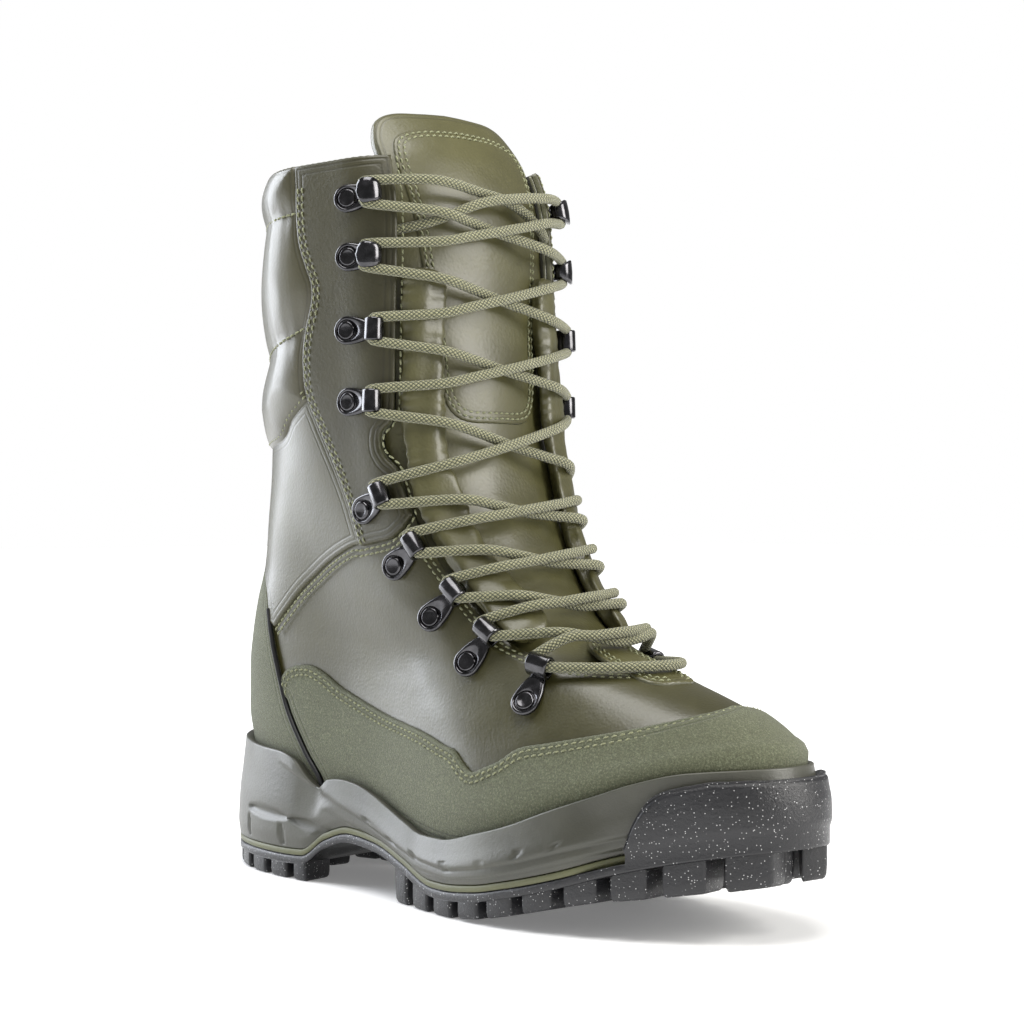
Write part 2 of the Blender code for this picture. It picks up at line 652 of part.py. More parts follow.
def build_gussets():
    low = GUSSET_FOOT * COLLAR_HEIGHT
    high = GUSSET_TOP * COLLAR_HEIGHT
    steps = 12
    lift = -WALL + GUSSET_SEAT + GUSSET_HEIGHT / 2.0
    for side, hand in ((-1, "right"), (1, "left")):
        path = []
        for i in range(steps + 1):
            height = low + (high - low) * i / steps
            across = side * (throat_half(height) - GUSSET_WIDTH / 2.0 - GAP * 4)
            path.append((across, height, lift))
        ellipse_loft("gusset_" + hand, path, GUSSET_WIDTH, GUSSET_HEIGHT, "leather")


def smooth(piece):
    for face in piece.data.polygons:
        face.use_smooth = True


def build_insole():
    lift = -WALL - GAP
    rise = INSOLE_THICKNESS / (UPPER_ROWS[1][1] * SHAFT_RISE)
    rings = [[skin(c, v, lift) for c in range(COLUMNS)] for v in (0.0, rise)]
    block("insole", rings, "lining")


def foot_form(name):
    """The closed form of the foot's lower half, as the midsole's hollow is cut by it."""
    lift = 2 * GAP + RAND_THICKNESS
    rings = [[skin(c, v, lift) for c in range(COLUMNS)] for v in range(0, 7)]
    low = [(x, y, z - GAP) for x, y, z in rings[0]]
    return block(name, [low] + rings, None, True)


def build_midsole():
    midsole = block("midsole", midsole_rings(0.0), "midsole")
    combine(midsole, foot_form("cut_foot"), "DIFFERENCE")


def build_strip():
    plain = sole_ring()
    ring = sole_ring([-toe_inset(x) for x, _ in plain])
    rings = [flat_ring(ring, strip_bottom), flat_ring(ring, lambda x: strip_bottom(x) + STRIP_THICKNESS)]
    block("midsole_strip", rings, "strip")


def edge_point(x, side, inset):
    """A point of the sole's outline at a length along it, taken in from the edge."""
    ring = sole_ring(-inset)
    half = COLUMNS // 2
    order = range(half, -1, -1) if side < 0 else range(half, COLUMNS + 1)
    points = [ring[i % COLUMNS] for i in order]
    return float(np.interp(x, [p[0] for p in points], [p[1] for p in points]))


def lug(form, corners):
    """A lug between the tread and the plate, from its outline seen from below."""
    lower = [form.verts.new((x, y, tread(x))) for x, y in corners]
    upper = [form.verts.new((x, y, plate_bottom(x) + LUG_BURY)) for x, y in corners]
    bridge(form, lower, upper)
    form.faces.new(lower)
    form.faces.new(upper)


def build_lugs():
    form = bmesh.new()
    for row in EDGE_LUGS:
        size = dict(zip(LUG_COLUMNS, row))
        start = size["start"] * SOLE_LENGTH
        end = size["end"] * SOLE_LENGTH
        width = size["width"] * BALL_WIDTH
        slant = size["slant"] * SOLE_LENGTH
        for side in (-1, 1):
            outline = [(start, edge_point(start, side, LUG_SETBACK)), (end, edge_point(end, side, LUG_SETBACK))]
            for x in (end, start):
                y = edge_point(x, side, LUG_SETBACK)
                outline.append((x + slant, y - side * width))
            lug(form, outline)
    for start, end, width in CENTRE_LUGS:
        start *= SOLE_LENGTH
        end *= SOLE_LENGTH
        middle = (start + end) / 2.0
        half = width * BALL_WIDTH / 2.0
        y = centre(middle)
        lug(form, [(start, y - half * LUG_TAPER), (middle, y - half), (end, y - half * LUG_TAPER),
                   (end, y + half * LUG_TAPER), (middle, y + half), (start, y + half * LUG_TAPER)])
    return new_object("cut_lugs", mesh_from("cut_lugs", form), None, True)


def build_bumper():
    """The toe bumper as the difference of two larger forms of the midsole's side."""
    outer = midsole_rings(BUMPER_THICKNESS + GAP)
    inner = midsole_rings(GAP)
    skirts = []
    for rings in (outer, inner):
        plain = sole_ring()
        low = [(p[0], p[1], plate_bottom(plain[i][0]) + LUG_BURY) for i, p in enumerate(rings[0])]
        skirts.append([low] + rings)
    bumper = block("cut_bumper", skirts[0], None, True)
    lowered = [[(x, y, z - BUMPER_OVERLAP) for x, y, z in skirts[1][0]]] + skirts[1]
    raised = lowered + [[(x, y, z + BUMPER_OVERLAP) for x, y, z in skirts[1][-1]]]
    hollow = block("cut_bumper_hollow", raised, None, True)
    combine(bumper, hollow, "DIFFERENCE")
    combine(bumper, side_cutter("cut_bumper_side", BUMPER_OUTLINE), "INTERSECT")
    return bumper


def build_outsole():
    ring = sole_ring()
    tucked = sole_ring(-PLATE_TUCK)
    rings = [flat_ring(tucked, plate_bottom), flat_ring(ring, lambda x: plate_bottom(x) + PLATE_THICKNESS)]
    outsole = block("outsole", rings, "rubber")
    combine(outsole, build_lugs(), "UNION")
    combine(outsole, build_bumper(), "UNION")


def near_front(target, side, lift):
    """The point over the skin on one side that lies nearest to a target, at the target's height."""
    def distance(column):
        return (Vector(skin(side_column(column), level_at(side_column(column), target.z))) - target).length

    def side_column(column):
        return column if side < 0 else -column

    best = min((column * 0.5 for column in range(COLUMNS)), key=distance)
    low = best - 0.5
    high = best + 0.5
    for _ in range(12):
        third = (high - low) / 3.0
        if distance(low + third) < distance(high - third):
            high -= third
        else:
            low += third
    column = side_column((low + high) / 2.0)
    return Vector(skin(column, level_at(column, target.z), lift))


def throat_frame(side, height, lift, setback):
    """Axes by the throat's edge: away from the throat, out of the skin, and along the edge."""
    step = EYELET_RISE / 2.0
    edge = front_point(side * throat_half(height), height, 0.0)
    above = front_point(side * throat_half(height + step), height + step, 0.0)
    below = front_point(side * throat_half(height - step), height - step, 0.0)
    along = (above - below).normalized()
    raised = front_point(side * throat_half(height), height, step)
    outward = (raised - edge).normalized()
    away = outward.cross(along).normalized()
    if away.y * side < 0:
        away = -away
    place = near_front(edge + away * setback, side, lift)
    end = near_front(edge + away * (setback + EYELET_REACH), side, lift)
    away = (end - place).normalized()
    outward = away.cross(along).normalized()
    if outward.dot(raised - edge) < 0:
        outward = -outward
    along = outward.cross(away)
    rise = 0.0
    for share in (0.0, 0.25, 0.5, 0.75, 1.0, 1.3):
        for turn in (-1.0, 1.0):
            spot = place + away * EYELET_REACH * share + along * RIVET_RADIUS * turn
            rise = max(rise, (near_front(spot, side, lift) - place).dot(outward))
    return place + outward * (rise + GAP), away, outward, along


def eyelet(name, side, height, lift, setback, profile, hole):
    """A bent strip of metal with its rivet, standing by the throat's edge."""
    place, away, outward, along = throat_frame(side, height, lift, setback * EYELET_REACH)
    basis = Matrix((away, outward, along)).transposed().to_4x4()
    basis.translation = place
    form = bmesh.new()
    corners = [form.verts.new((u * EYELET_REACH, n * EYELET_RISE, -EYELET_WIDTH / 2.0)) for u, n in profile]
    face = form.faces.new(corners)
    pushed = bmesh.ops.extrude_face_region(form, geom=[face])
    moved = [item for item in pushed["geom"] if isinstance(item, bmesh.types.BMVert)]
    bmesh.ops.translate(form, verts=moved, vec=(0.0, 0.0, EYELET_WIDTH))
    bmesh.ops.transform(form, matrix=basis, verts=form.verts)
    piece = new_object(name, mesh_from(name, form), "gunmetal")
    if hole:
        corners = [(basis @ Vector((u * EYELET_REACH, n * EYELET_RISE, -EYELET_WIDTH))) for u, n in hole]
        combine(piece, prism("cut_" + name, corners, along * EYELET_WIDTH * 2.0), "DIFFERENCE")
    combine(piece, rivet("rivet_" + name, basis), "UNION")
    return piece


def rivet(name, basis):
    """The rivet's round base and head."""
    form = bmesh.new()
    bmesh.ops.create_cone(form, cap_ends=True, segments=8, radius1=RIVET_RADIUS, radius2=RIVET_RADIUS * RIVET_TAPER,
                          depth=RIVET_HEIGHT)
    turn = Matrix.Rotation(math.radians(-90.0), 4, "X")
    place = Matrix.Translation((EYELET_REACH, RIVET_HEIGHT / 2.0, 0.0))
    bmesh.ops.transform(form, matrix=basis @ place @ turn, verts=form.verts)
    return new_object(name, mesh_from(name, form), None, True)


def build_eyelets():
    for side, hand in ((-1, "right"), (1, "left")):
        for row, share, setback in HOOK_ROWS:
            lift = GAP + EYESTAY_THICKNESS
            height = share * COLLAR_HEIGHT
            eyelet("hook_%s_%s" % (row, hand), side, height, lift, setback, HOOK_PROFILE, None)
        for row, share, setback in LOOP_ROWS:
            raised = share > EYESTAY_BOTTOM[3][1]
            lift = GAP + EYESTAY_THICKNESS if raised else 0.0
            height = share * COLLAR_HEIGHT
            eyelet("loop_%s_%s" % (row, hand), side, height, lift, setback, LOOP_PROFILE, LOOP_HOLE)


def lace_end(side, row, shift):
    """Where a strand ends, just short of the eyelet of a row and moved along the throat's edge."""
    height = row[1] * COLLAR_HEIGHT
    profile = HOOK_PROFILE if row in HOOK_ROWS else LOOP_PROFILE
    front = min(u for u, _ in profile)
    _, away, _, along = throat_frame(side, height, 0.0, 0.0)
    edge = front_point(side * throat_half(height), height, 0.0)
    reach = (row[2] + front) * EYELET_REACH - LACE_END_GAP
    rise = along * (shift if along.z > 0 else -shift)
    target = edge + away * reach + rise
    return near_front(target, side, LACE_LIFT), target.z


def lace_path(side, low_row, high_row, low_shift, high_shift, lift):
    """A strand from one side of a row over the tongue to the other side of the next."""
    start, low = lace_end(side, low_row, low_shift)
    end, high = lace_end(-side, high_row, high_shift)
    path = [start]
    for share, sag in LACE_ROUTE:
        height = low + (high - low) * share
        across = side * throat_half(height) * (1.0 - 2.0 * share)
        path.append(front_point(across, height, LACE_LIFT - (LACE_SAG - lift) * sag))
    return path + [end]


def strand(name, path, material=None, cutter=False):
    """A round cord through points over the skin."""
    curve = bpy.data.curves.new(name, "CURVE")
    curve.dimensions = "3D"
    curve.bevel_depth = LACE_RADIUS
    curve.bevel_resolution = 1
    curve.use_fill_caps = True
    curve.render_resolution_u = 0
    spline = curve.splines.new("POLY")
    spline.points.add(len(path) - 1)
    for point, row in zip(spline.points, path):
        point.co = (*row, 1.0)
    holder = bpy.data.objects.new(name + "_curve", curve)
    CUTTERS.objects.link(holder)
    bpy.context.view_layer.update()
    mesh = bpy.data.meshes.new_from_object(holder)
    bpy.data.objects.remove(holder)
    form = bmesh.new()
    form.from_mesh(mesh)
    bpy.data.meshes.remove(mesh)
    piece = new_object(name, mesh_from(name, form), material, cutter)
    smooth(piece)
    return piece


def build_lace():
    rows = HOOK_ROWS + LOOP_ROWS
    for i in range(len(rows) - 1):
        name = "lace_cross_%d" % (i + 1)
        ends = (rows[i + 1], rows[i], LACE_ABOVE_ROW, -LACE_BELOW_ROW)
        crossing = strand(name, lace_path(-1, *ends, LACE_OVER), "cord")
        other = strand("cut_" + name, lace_path(1, *ends, 0.0), None, True)
        combine(crossing, other, "UNION")
    strand("lace_bar", lace_path(-1, rows[-1], rows[-1], -LACE_BAR_DROP, -LACE_BAR_DROP, 0.0), "cord")


def clear_scene():
    for item in list(bpy.data.objects):
        bpy.data.objects.remove(item, do_unlink=True)


def new_collection(name):
    collection = bpy.data.collections.new(name)
    bpy.context.scene.collection.children.link(collection)
    return collection


clear_scene()
PARTS = new_collection("winter_boot")
CUTTERS = new_collection("cutters")
CARRIER = bpy.data.objects.new("boot_frame", None)
PARTS.objects.link(CARRIER)
CARRIER.location.x = -HEEL_SPOT


def main():
    throat_cutter()
    build_outsole()
    build_strip()
    build_midsole()
    build_insole()
    build_upper()
    build_rand()
    build_counter()
    build_quarters()
    build_eyestays()
    build_pad()
    build_tongue()
    build_gussets()
    build_eyelets()
    build_lace()
    bpy.context.view_layer.update()


main()
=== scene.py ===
"""Winter tactical boot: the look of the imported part, laid out as a Blender add-on.

The boot's own forms are repeated here as smooth surfaces. Each piece is laid over them and
takes the place of the plain solid that it stands for. Metres, +X to the toe, +Z up.
"""
import functools
import math

import bpy
import numpy as np
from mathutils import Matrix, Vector
from mathutils.geometry import delaunay_2d_cdt


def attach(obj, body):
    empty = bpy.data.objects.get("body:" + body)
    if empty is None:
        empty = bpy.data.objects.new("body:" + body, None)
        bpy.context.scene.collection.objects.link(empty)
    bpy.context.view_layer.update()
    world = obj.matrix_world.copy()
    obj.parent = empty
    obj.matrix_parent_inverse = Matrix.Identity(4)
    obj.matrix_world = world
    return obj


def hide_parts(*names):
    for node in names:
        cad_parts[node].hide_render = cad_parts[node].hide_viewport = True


bl_info = {
    "name": "Winter Tactical Boot",
    "version": (1, 0, 0),
    "blender": (4, 5, 0),
    "location": "View3D > Sidebar > Boot",
    "description": "Dresses a laced winter boot in leather, rubber, metal and cord",
    "category": "Object",
}

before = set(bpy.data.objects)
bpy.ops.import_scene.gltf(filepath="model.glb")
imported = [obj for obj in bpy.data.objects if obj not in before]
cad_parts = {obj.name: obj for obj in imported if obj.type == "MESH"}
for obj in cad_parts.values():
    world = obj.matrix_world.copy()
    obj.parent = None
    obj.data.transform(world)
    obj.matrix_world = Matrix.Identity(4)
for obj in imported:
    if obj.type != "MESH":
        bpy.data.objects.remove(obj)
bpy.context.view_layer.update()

MM = 0.001

# Sizes of the boot
SOLE_LENGTH = 0.308
BALL_WIDTH = 0.1046
HEEL_WIDTH = 0.0726
WAIST_WIDTH = 0.075
COLLAR_HEIGHT = 0.293
SEAT_HEIGHT = 0.036
BALL_SEAT = 0.024
SHAFT_WIDTH = 0.106
SHAFT_RISE = COLLAR_HEIGHT - SEAT_HEIGHT
HEEL_SPOT = 0.038
WALL = 0.0024
GAP = 0.0003
RAND_THICKNESS = 0.0012
EYESTAY_THICKNESS = 0.0022
EYESTAY_FOLD = 0.0006
PAD_THICKNESS = 0.0054
TONGUE_THICKNESS = 0.0045
TREAD_DEPTH = 0.0065
PLATE_THICKNESS = 0.0033
STRIP_THICKNESS = 0.0025
ARCH_RISE = 0.0125
TOE_SPRING = 0.027
TREAD_TOE_RISE = 0.024
BUMPER_THICKNESS = 0.004
MIDSOLE_HEIGHT = 0.055
LIP_WIDTH = 0.003
EYELET_REACH = 0.0145
EYELET_RISE = 0.0078
RIVET_RADIUS = 0.0044

QUARTER_THICKNESS = 0.0012
GUSSET_WIDTH = 0.0145
GUSSET_HEIGHT = 0.0064
LACE_RADIUS = 0.0020
BARE_SEAT = 0.0004
LUG_ROUND = 0.0012

# The upper's chart: columns run round from the toe, levels rise from the sole.
COLUMNS = 48
HEEL = 24.0
COLLAR_LEVEL = 13.0
TOP_LEVEL = 14.0
EYESTAY_FOOT = 0.49
WIDTH_STATIONS = (0.13, 0.39, 0.69, 0.90)

# One row for each level of the upper: shares of the boot's named sizes.
# Columns: follow, back_z, front_z, back_x, front_x, heel, waist, ball, toe
UPPER_ROWS = (
    (0.00, 0.000, 0.000, 0.036, 0.955, 0.406, 0.297, 0.416, 0.296),
    (0.00, 0.070, 0.058, 0.026, 0.960, 0.427, 0.316, 0.445, 0.326),
    (0.25, 0.117, 0.093, 0.020, 0.943, 0.435, 0.307, 0.430, 0.306),
    (0.50, 0.160, 0.140, 0.022, 0.908, 0.435, 0.297, 0.402, 0.277),
    (0.80, 0.202, 0.179, 0.027, 0.856, 0.442, 0.292, 0.373, 0.258),
    (1.00, 0.249, 0.210, 0.039, 0.789, 0.448, 0.302, 0.354, 0.249),
    (1.00, 0.304, 0.241, 0.058, 0.711, 0.454, 0.325, 0.368, 0.268),
    (1.00, 0.366, 0.288, 0.082, 0.643, 0.453, 0.358, 0.392, 0.296),
    (1.00, 0.436, 0.358, 0.097, 0.584, 0.457, 0.396, 0.411, 0.325),
    (1.00, 0.514, 0.451, 0.110, 0.536, 0.453, 0.425, 0.430, 0.354),
    (1.00, 0.607, 0.568, 0.118, 0.503, 0.450, 0.453, 0.449, 0.368),
    (1.00, 0.708, 0.693, 0.124, 0.490, 0.459, 0.481, 0.468, 0.378),
    (1.00, 0.900, 0.905, 0.124, 0.477, 0.463, 0.500, 0.488, 0.382),
    (1.00, 0.966, 0.984, 0.130, 0.455, 0.449, 0.491, 0.478, 0.373),
    (1.00, 1.062, 1.078, 0.134, 0.396, 0.394, 0.462, 0.449, 0.344),
)

# Curves along the sole: share of its length, then share of the named size.
CENTRE_CURVE = ((0.0, 0.0), (0.13, 0.0), (0.26, -0.017), (0.39, -0.038), (0.52, -0.048), (0.65, -0.031),
                (0.73, -0.014), (0.81, 0.010), (0.89, 0.033), (0.95, 0.048), (1.0, 0.057))
SPRING_CURVE = ((0.0, 0.0), (0.58, 0.0), (0.64, 0.056), (0.70, 0.185), (0.76, 0.352), (0.84, 0.63),
                (0.92, 0.852), (1.0, 1.0))
TREAD_CURVE = ((0.0, 0.0), (0.58, 0.0), (0.64, 0.063), (0.70, 0.208), (0.76, 0.385), (0.81, 0.53),
               (0.86, 0.625), (0.92, 0.75), (0.98, 0.87), (1.0, 1.0))
ARCH_CURVE = ((0.0, 0.0), (0.20, 0.0), (0.25, 0.04), (0.30, 0.68), (0.35, 1.0), (0.41, 0.88),
              (0.48, 0.48), (0.56, 0.0), (1.0, 0.0))
SEAT_CURVE = ((0.0, 1.0), (0.25, 1.0), (0.42, 0.5), (0.60, 0.0), (1.0, 0.0))
MIDSOLE_TOP = ((0.0, 1.0), (0.12, 0.95), (0.19, 0.935), (0.225, 0.89), (0.25, 0.77), (0.276, 0.705),
               (0.30, 0.775), (0.335, 0.79), (0.37, 0.772), (0.41, 0.72), (0.45, 0.65), (0.495, 0.575),
               (0.54, 0.515), (0.585, 0.513), (0.66, 0.593), (0.71, 0.665), (0.78, 0.804), (0.84, 0.92),
               (0.88, 1.00), (0.935, 1.08), (1.0, 1.11))
SOLE_HALF_WIDTHS = (0.5, 0.5, 0.5, 0.353)

# Outlines seen from the side: share of the sole's length, share of the collar's height.
PIPING_LINE = ((0.276, 0.100), (0.276, 0.140), (0.243, 0.183), (0.201, 0.243), (0.179, 0.304), (0.170, 0.341),
               (0.166, 0.375))
COUNTER_TOP = ((0.166, 0.375), (0.155, 0.408), (0.125, 0.435), (0.095, 0.445))
COUNTER_BACK = 0.449
RAND_TOP = ((0.188, 0.255), (0.190, 0.278), (0.211, 0.294), (0.247, 0.299), (0.279, 0.289), (0.321, 0.269),
            (0.409, 0.244), (0.510, 0.228), (0.562, 0.215), (0.584, 0.210), (0.607, 0.193), (0.623, 0.186),
            (0.643, 0.193), (0.666, 0.203), (0.692, 0.220), (0.734, 0.229), (0.812, 0.246), (0.850, 0.256))
RAND_TOE = 0.2735
VAMP_SEAM = ((0.179, 0.350), (0.211, 0.377), (0.250, 0.407), (0.312, 0.440), (0.383, 0.467), (0.401, 0.467))
EYESTAY_BOTTOM = ((0.401, 0.467), (0.430, 0.472), (0.458, 0.478), (0.477, 0.492))
EYESTAY_BACK = ((0.401, 0.467), (0.373, 0.542), (0.328, 0.633), (0.312, 0.672), (0.311, 0.717),
                (0.318, 0.756), (0.330, 0.793), (0.331, 0.819), (0.321, 0.846), (0.311, 0.881), (0.306, 0.950))
PAD_BOTTOM = ((0.316, 0.664), (0.273, 0.636), (0.244, 0.612), (0.175, 0.600))
PAD_BACK = 0.592

# Half of the throat seen from the front: share of the shaft's width, share of the collar's height.
THROAT_EDGE = ((0.0, 0.283), (0.075, 0.284), (0.150, 0.290), (0.220, 0.303), (0.270, 0.318), (0.300, 0.336),
               (0.315, 0.362), (0.337, 0.410), (0.377, 0.478), (0.399, 0.560), (0.392, 0.680), (0.378, 0.820),
               (0.364, 0.960))
THROAT_FOOT = ((0.0, 0.311), (0.100, 0.312), (0.190, 0.3155), (0.245, 0.322), (0.275, 0.331), (0.298, 0.345))
TONGUE_TOP = ((0.395, 0.960), (0.392, 0.990), (0.378, 1.020), (0.330, 1.048), (0.250, 1.062), (0.120, 1.066))

# Rows of eyelets: name, height, how far it stands back from the throat's edge.
HOOK_ROWS = (("row1", 0.933, 0.30), ("row2", 0.848, 0.30))
LOOP_ROWS = (("row3", 0.751, 0.34), ("row4", 0.658, 0.34), ("row5", 0.544, 0.42), ("row6", 0.474, 0.14),
             ("row7", 0.410, 0.05), ("row8", 0.359, 0.05), ("row9", 0.320, 0.16))
SIDES = ((-1, "right"), (1, "left"))


# Smooth forms

def ramp(value, start, width):
    """From 0 at a start to 1 a width beyond it."""
    return np.clip((value - start) / width, 0.0, 1.0)


def bell(value, width):
    """1 at zero, fading out over a width."""
    return np.exp(-(value / width) ** 2)


def unit(vectors):
    """Vectors of length one along the last axis."""
    return vectors / np.linalg.norm(vectors, axis=-1, keepdims=True)


def run_length(points):
    """Length along a line up to each of its points."""
    return np.concatenate([[0.0], np.cumsum(np.linalg.norm(np.diff(points, axis=0), axis=1))])


def along_line(line, length, places):
    """Each column of a line, read at places along its length."""
    return np.stack([np.interp(places, length, line[:, k]) for k in range(line.shape[1])], axis=1)


def smooth_curve(xs, ys):
    """A curve through the knots that never overshoots them. ys may hold several columns."""
    xs = np.asarray(xs, float)
    ys = np.asarray(ys, float)
    flat = ys.ndim == 1
    ys = ys[:, None] if flat else ys
    steps = np.diff(xs)[:, None]
    slopes = np.diff(ys, axis=0) / steps
    tangents = np.zeros_like(ys)
    tangents[0], tangents[-1] = slopes[0], slopes[-1]
    before = 2 * steps[1:] + steps[:-1]
    after = steps[1:] + 2 * steps[:-1]
    with np.errstate(divide="ignore", invalid="ignore"):
        mean = (before + after) / (before / slopes[:-1] + after / slopes[1:])
    tangents[1:-1] = np.where(slopes[:-1] * slopes[1:] > 0, mean, 0.0)

    def at(x):
        x = np.asarray(x, float)
        i = np.clip(np.searchsorted(xs, x) - 1, 0, len(xs) - 2)
        step = (xs[i + 1] - xs[i])[..., None]
        t = np.clip((x - xs[i])[..., None] / step, 0.0, 1.0)
        value = ((1 + 2 * t) * (1 - t) ** 2 * ys[i] + t * (1 - t) ** 2 * step * tangents[i]
                 + t * t * (3 - 2 * t) * ys[i + 1] + t * t * (t - 1) * step * tangents[i + 1])
        return value[..., 0] if flat else value
    return at


def curve_of(pairs):
    return smooth_curve([p[0] for p in pairs], [p[1] for p in pairs])


centre_share = curve_of(CENTRE_CURVE)
spring_share = curve_of(SPRING_CURVE)
tread_share = curve_of(TREAD_CURVE)
arch_share = curve_of(ARCH_CURVE)
seat_share = curve_of(SEAT_CURVE)
midsole_share = curve_of(MIDSOLE_TOP)
upper_row = smooth_curve(np.arange(len(UPPER_ROWS)), UPPER_ROWS)


def centre(x):
    return BALL_WIDTH * centre_share(x / SOLE_LENGTH)


def spring(x):
    return TOE_SPRING * spring_share(x / SOLE_LENGTH)


def tread(x):
    return TREAD_TOE_RISE * tread_share(x / SOLE_LENGTH)


def plate_bottom(x):
    return spring(x) + TREAD_DEPTH + ARCH_RISE * arch_share(x / SOLE_LENGTH)


def strip_bottom(x):
    return plate_bottom(x) + PLATE_THICKNESS + GAP


def midsole_bottom(x):
    return strip_bottom(x) + STRIP_THICKNESS + GAP


def midsole_top(x):
    return MIDSOLE_HEIGHT * midsole_share(x / SOLE_LENGTH)


def seat(x):
    return BALL_SEAT + (SEAT_HEIGHT - BALL_SEAT) * seat_share(x / SOLE_LENGTH) + spring(x)


def turn_of(column):
    """Angle around a ring, pi at the toe and 0 at the heel, and the side of the foot."""
    turn = np.mod(2.0 * column / COLUMNS, 2.0)
    outer = turn <= 1.0
    share = np.where(outer, turn, 2.0 - turn)
    return np.pi * (1.0 - share), np.where(outer, -1.0, 1.0)


def half_width(angle, widths, heel_rounding, toe_rounding):
    """Half width of a ring at each angle, through four given half widths."""
    stations = np.arccos(1.0 - 2.0 * np.array(WIDTH_STATIONS))
    swells = [width / np.sin(a) for width, a in zip(widths, stations)]
    values = np.array([swells[0] * heel_rounding, *swells, swells[-1] * toe_rounding])
    knots = np.array([0.0, *stations, np.pi])
    slopes = np.gradient(values, knots, axis=0)
    i = np.clip(np.searchsorted(knots, angle) - 1, 0, len(knots) - 2)
    here = np.arange(len(angle))
    step = knots[i + 1] - knots[i]
    t = (angle - knots[i]) / step
    start = (1 + 2 * t) * (1 - t) ** 2 * values[i, here] + t * (1 - t) ** 2 * step * slopes[i, here]
    end = t * t * (3 - 2 * t) * values[i + 1, here] + t * t * (t - 1) * step * slopes[i + 1, here]
    return (start + end) * np.sin(angle)


def upper_point(column, level):
    """Points of the upper's outside at arrays of columns and levels."""
    follow, back_z, front_z, back_x, front_x, heel, waist, ball, toe = upper_row(level).T
    widths = (heel * HEEL_WIDTH, waist * SHAFT_WIDTH, ball * BALL_WIDTH, toe * BALL_WIDTH)
    angle, side = turn_of(column)
    along = (1.0 - np.cos(angle)) / 2.0
    x = SOLE_LENGTH * (back_x + (front_x - back_x) * along)
    bend = np.clip(1.0 - (level - 4.0) / 6.0, 0.0, 1.0)
    y = bend * centre(x) + side * half_width(angle, widths, 1.04, 1.02)
    z = seat(x) * (1.0 - follow) + SEAT_HEIGHT * follow + (back_z + (front_z - back_z) * along) * SHAFT_RISE
    return np.stack([x - HEEL_SPOT, y, z], axis=-1)


TURN_STEP = 0.03
LEVEL_STEP = 0.02


def skin_axes(column, level):
    """Points, directions around, directions upward and directions out of the upper."""
    column, level = np.broadcast_arrays(np.asarray(column, float), np.asarray(level, float))
    shape = column.shape
    column, level = column.ravel(), np.clip(level.ravel(), 0.0, len(UPPER_ROWS) - 1.0)
    point = upper_point(column, level)
    around = upper_point(column + TURN_STEP, level) - upper_point(column - TURN_STEP, level)
    around = around / (2 * TURN_STEP)
    low = np.maximum(level - LEVEL_STEP, 0.0)
    high = np.minimum(level + LEVEL_STEP, len(UPPER_ROWS) - 1.0)
    upward = (upper_point(column, high) - upper_point(column, low)) / (high - low)[:, None]
    return [a.reshape(*shape, 3) for a in (point, around, upward, unit(np.cross(upward, around)))]


def skin(column, level, lift=0.0):
    """Points of the upper's outside, moved out by a lift."""
    point, _, _, normal = skin_axes(column, level)
    return point + normal * np.asarray(lift)[..., None]


def invert(targets, axes, columns, lean=0.0):
    """Columns and levels of the upper that a view along one axis shows at the targets."""
    c, v = [a.ravel() for a in np.meshgrid(columns, np.linspace(0.0, TOP_LEVEL, 141), indexing="ij")]
    seen = upper_point(c, v)[:, axes]
    targets = np.asarray(targets, float)
    found = []
    for target in targets:
        best = np.argmin(np.sum((seen - target) ** 2, axis=1) + (lean * c) ** 2)
        found.append((c[best], v[best]))
    found = np.array(found)
    for _ in range(6):
        point, around, upward, _ = skin_axes(found[:, 0], found[:, 1])
        miss = targets - point[:, axes]
        a, b = around[:, axes], upward[:, axes]
        det = a[:, 0] * b[:, 1] - a[:, 1] * b[:, 0]
        det = np.where(np.abs(det) < 1e-9, 1e-9, det)
        dc = (miss[:, 0] * b[:, 1] - miss[:, 1] * b[:, 0]) / det
        dv = (a[:, 0] * miss[:, 1] - a[:, 1] * miss[:, 0]) / det
        found[:, 0] += np.clip(dc, -0.3, 0.3)
        found[:, 1] = np.clip(found[:, 1] + np.clip(dv, -0.2, 0.2), 0.0, TOP_LEVEL)
    return found


def rounded_line(points, count_per=10):
    """A smooth line through a few points of a flat outline."""
    points = np.asarray(points, float)
    padded = np.vstack([2 * points[0] - points[1], points, 2 * points[-1] - points[-2]])
    line = []
    for i in range(len(points) - 1):
        a, b, c, d = padded[i:i + 4]
        for t in np.arange(count_per) / count_per:
            line.append(0.5 * (2 * b + (c - a) * t + (2 * a - 5 * b + 4 * c - d) * t * t
                               + (3 * b - a - 3 * c + d) * t ** 3))
    line.append(points[-1])
    return np.array(line)


FRONT_LEAN = 0.0004


def side_line(pairs):
    """A line drawn in the side view, as columns and levels on the outer side of the boot."""
    points = [(x * SOLE_LENGTH - HEEL_SPOT, z * COLLAR_HEIGHT) for x, z in pairs]
    return invert(rounded_line(points), [0, 2], np.linspace(0.0, HEEL, 121))


def front_line(pairs):
    """A line drawn in the front view, as columns and levels near the front of the outer side."""
    points = [(-share * SHAFT_WIDTH, z * COLLAR_HEIGHT) for share, z in pairs]
    return invert(rounded_line(points), [1, 2], np.linspace(0.0, 12.0, 61), FRONT_LEAN)


def level_of(column, height):
    """The level at which a column reaches a height."""
    levels = np.linspace(0.0, TOP_LEVEL, 561)
    return float(np.interp(height, upper_point(np.full(561, float(column)), levels)[:, 2], levels))


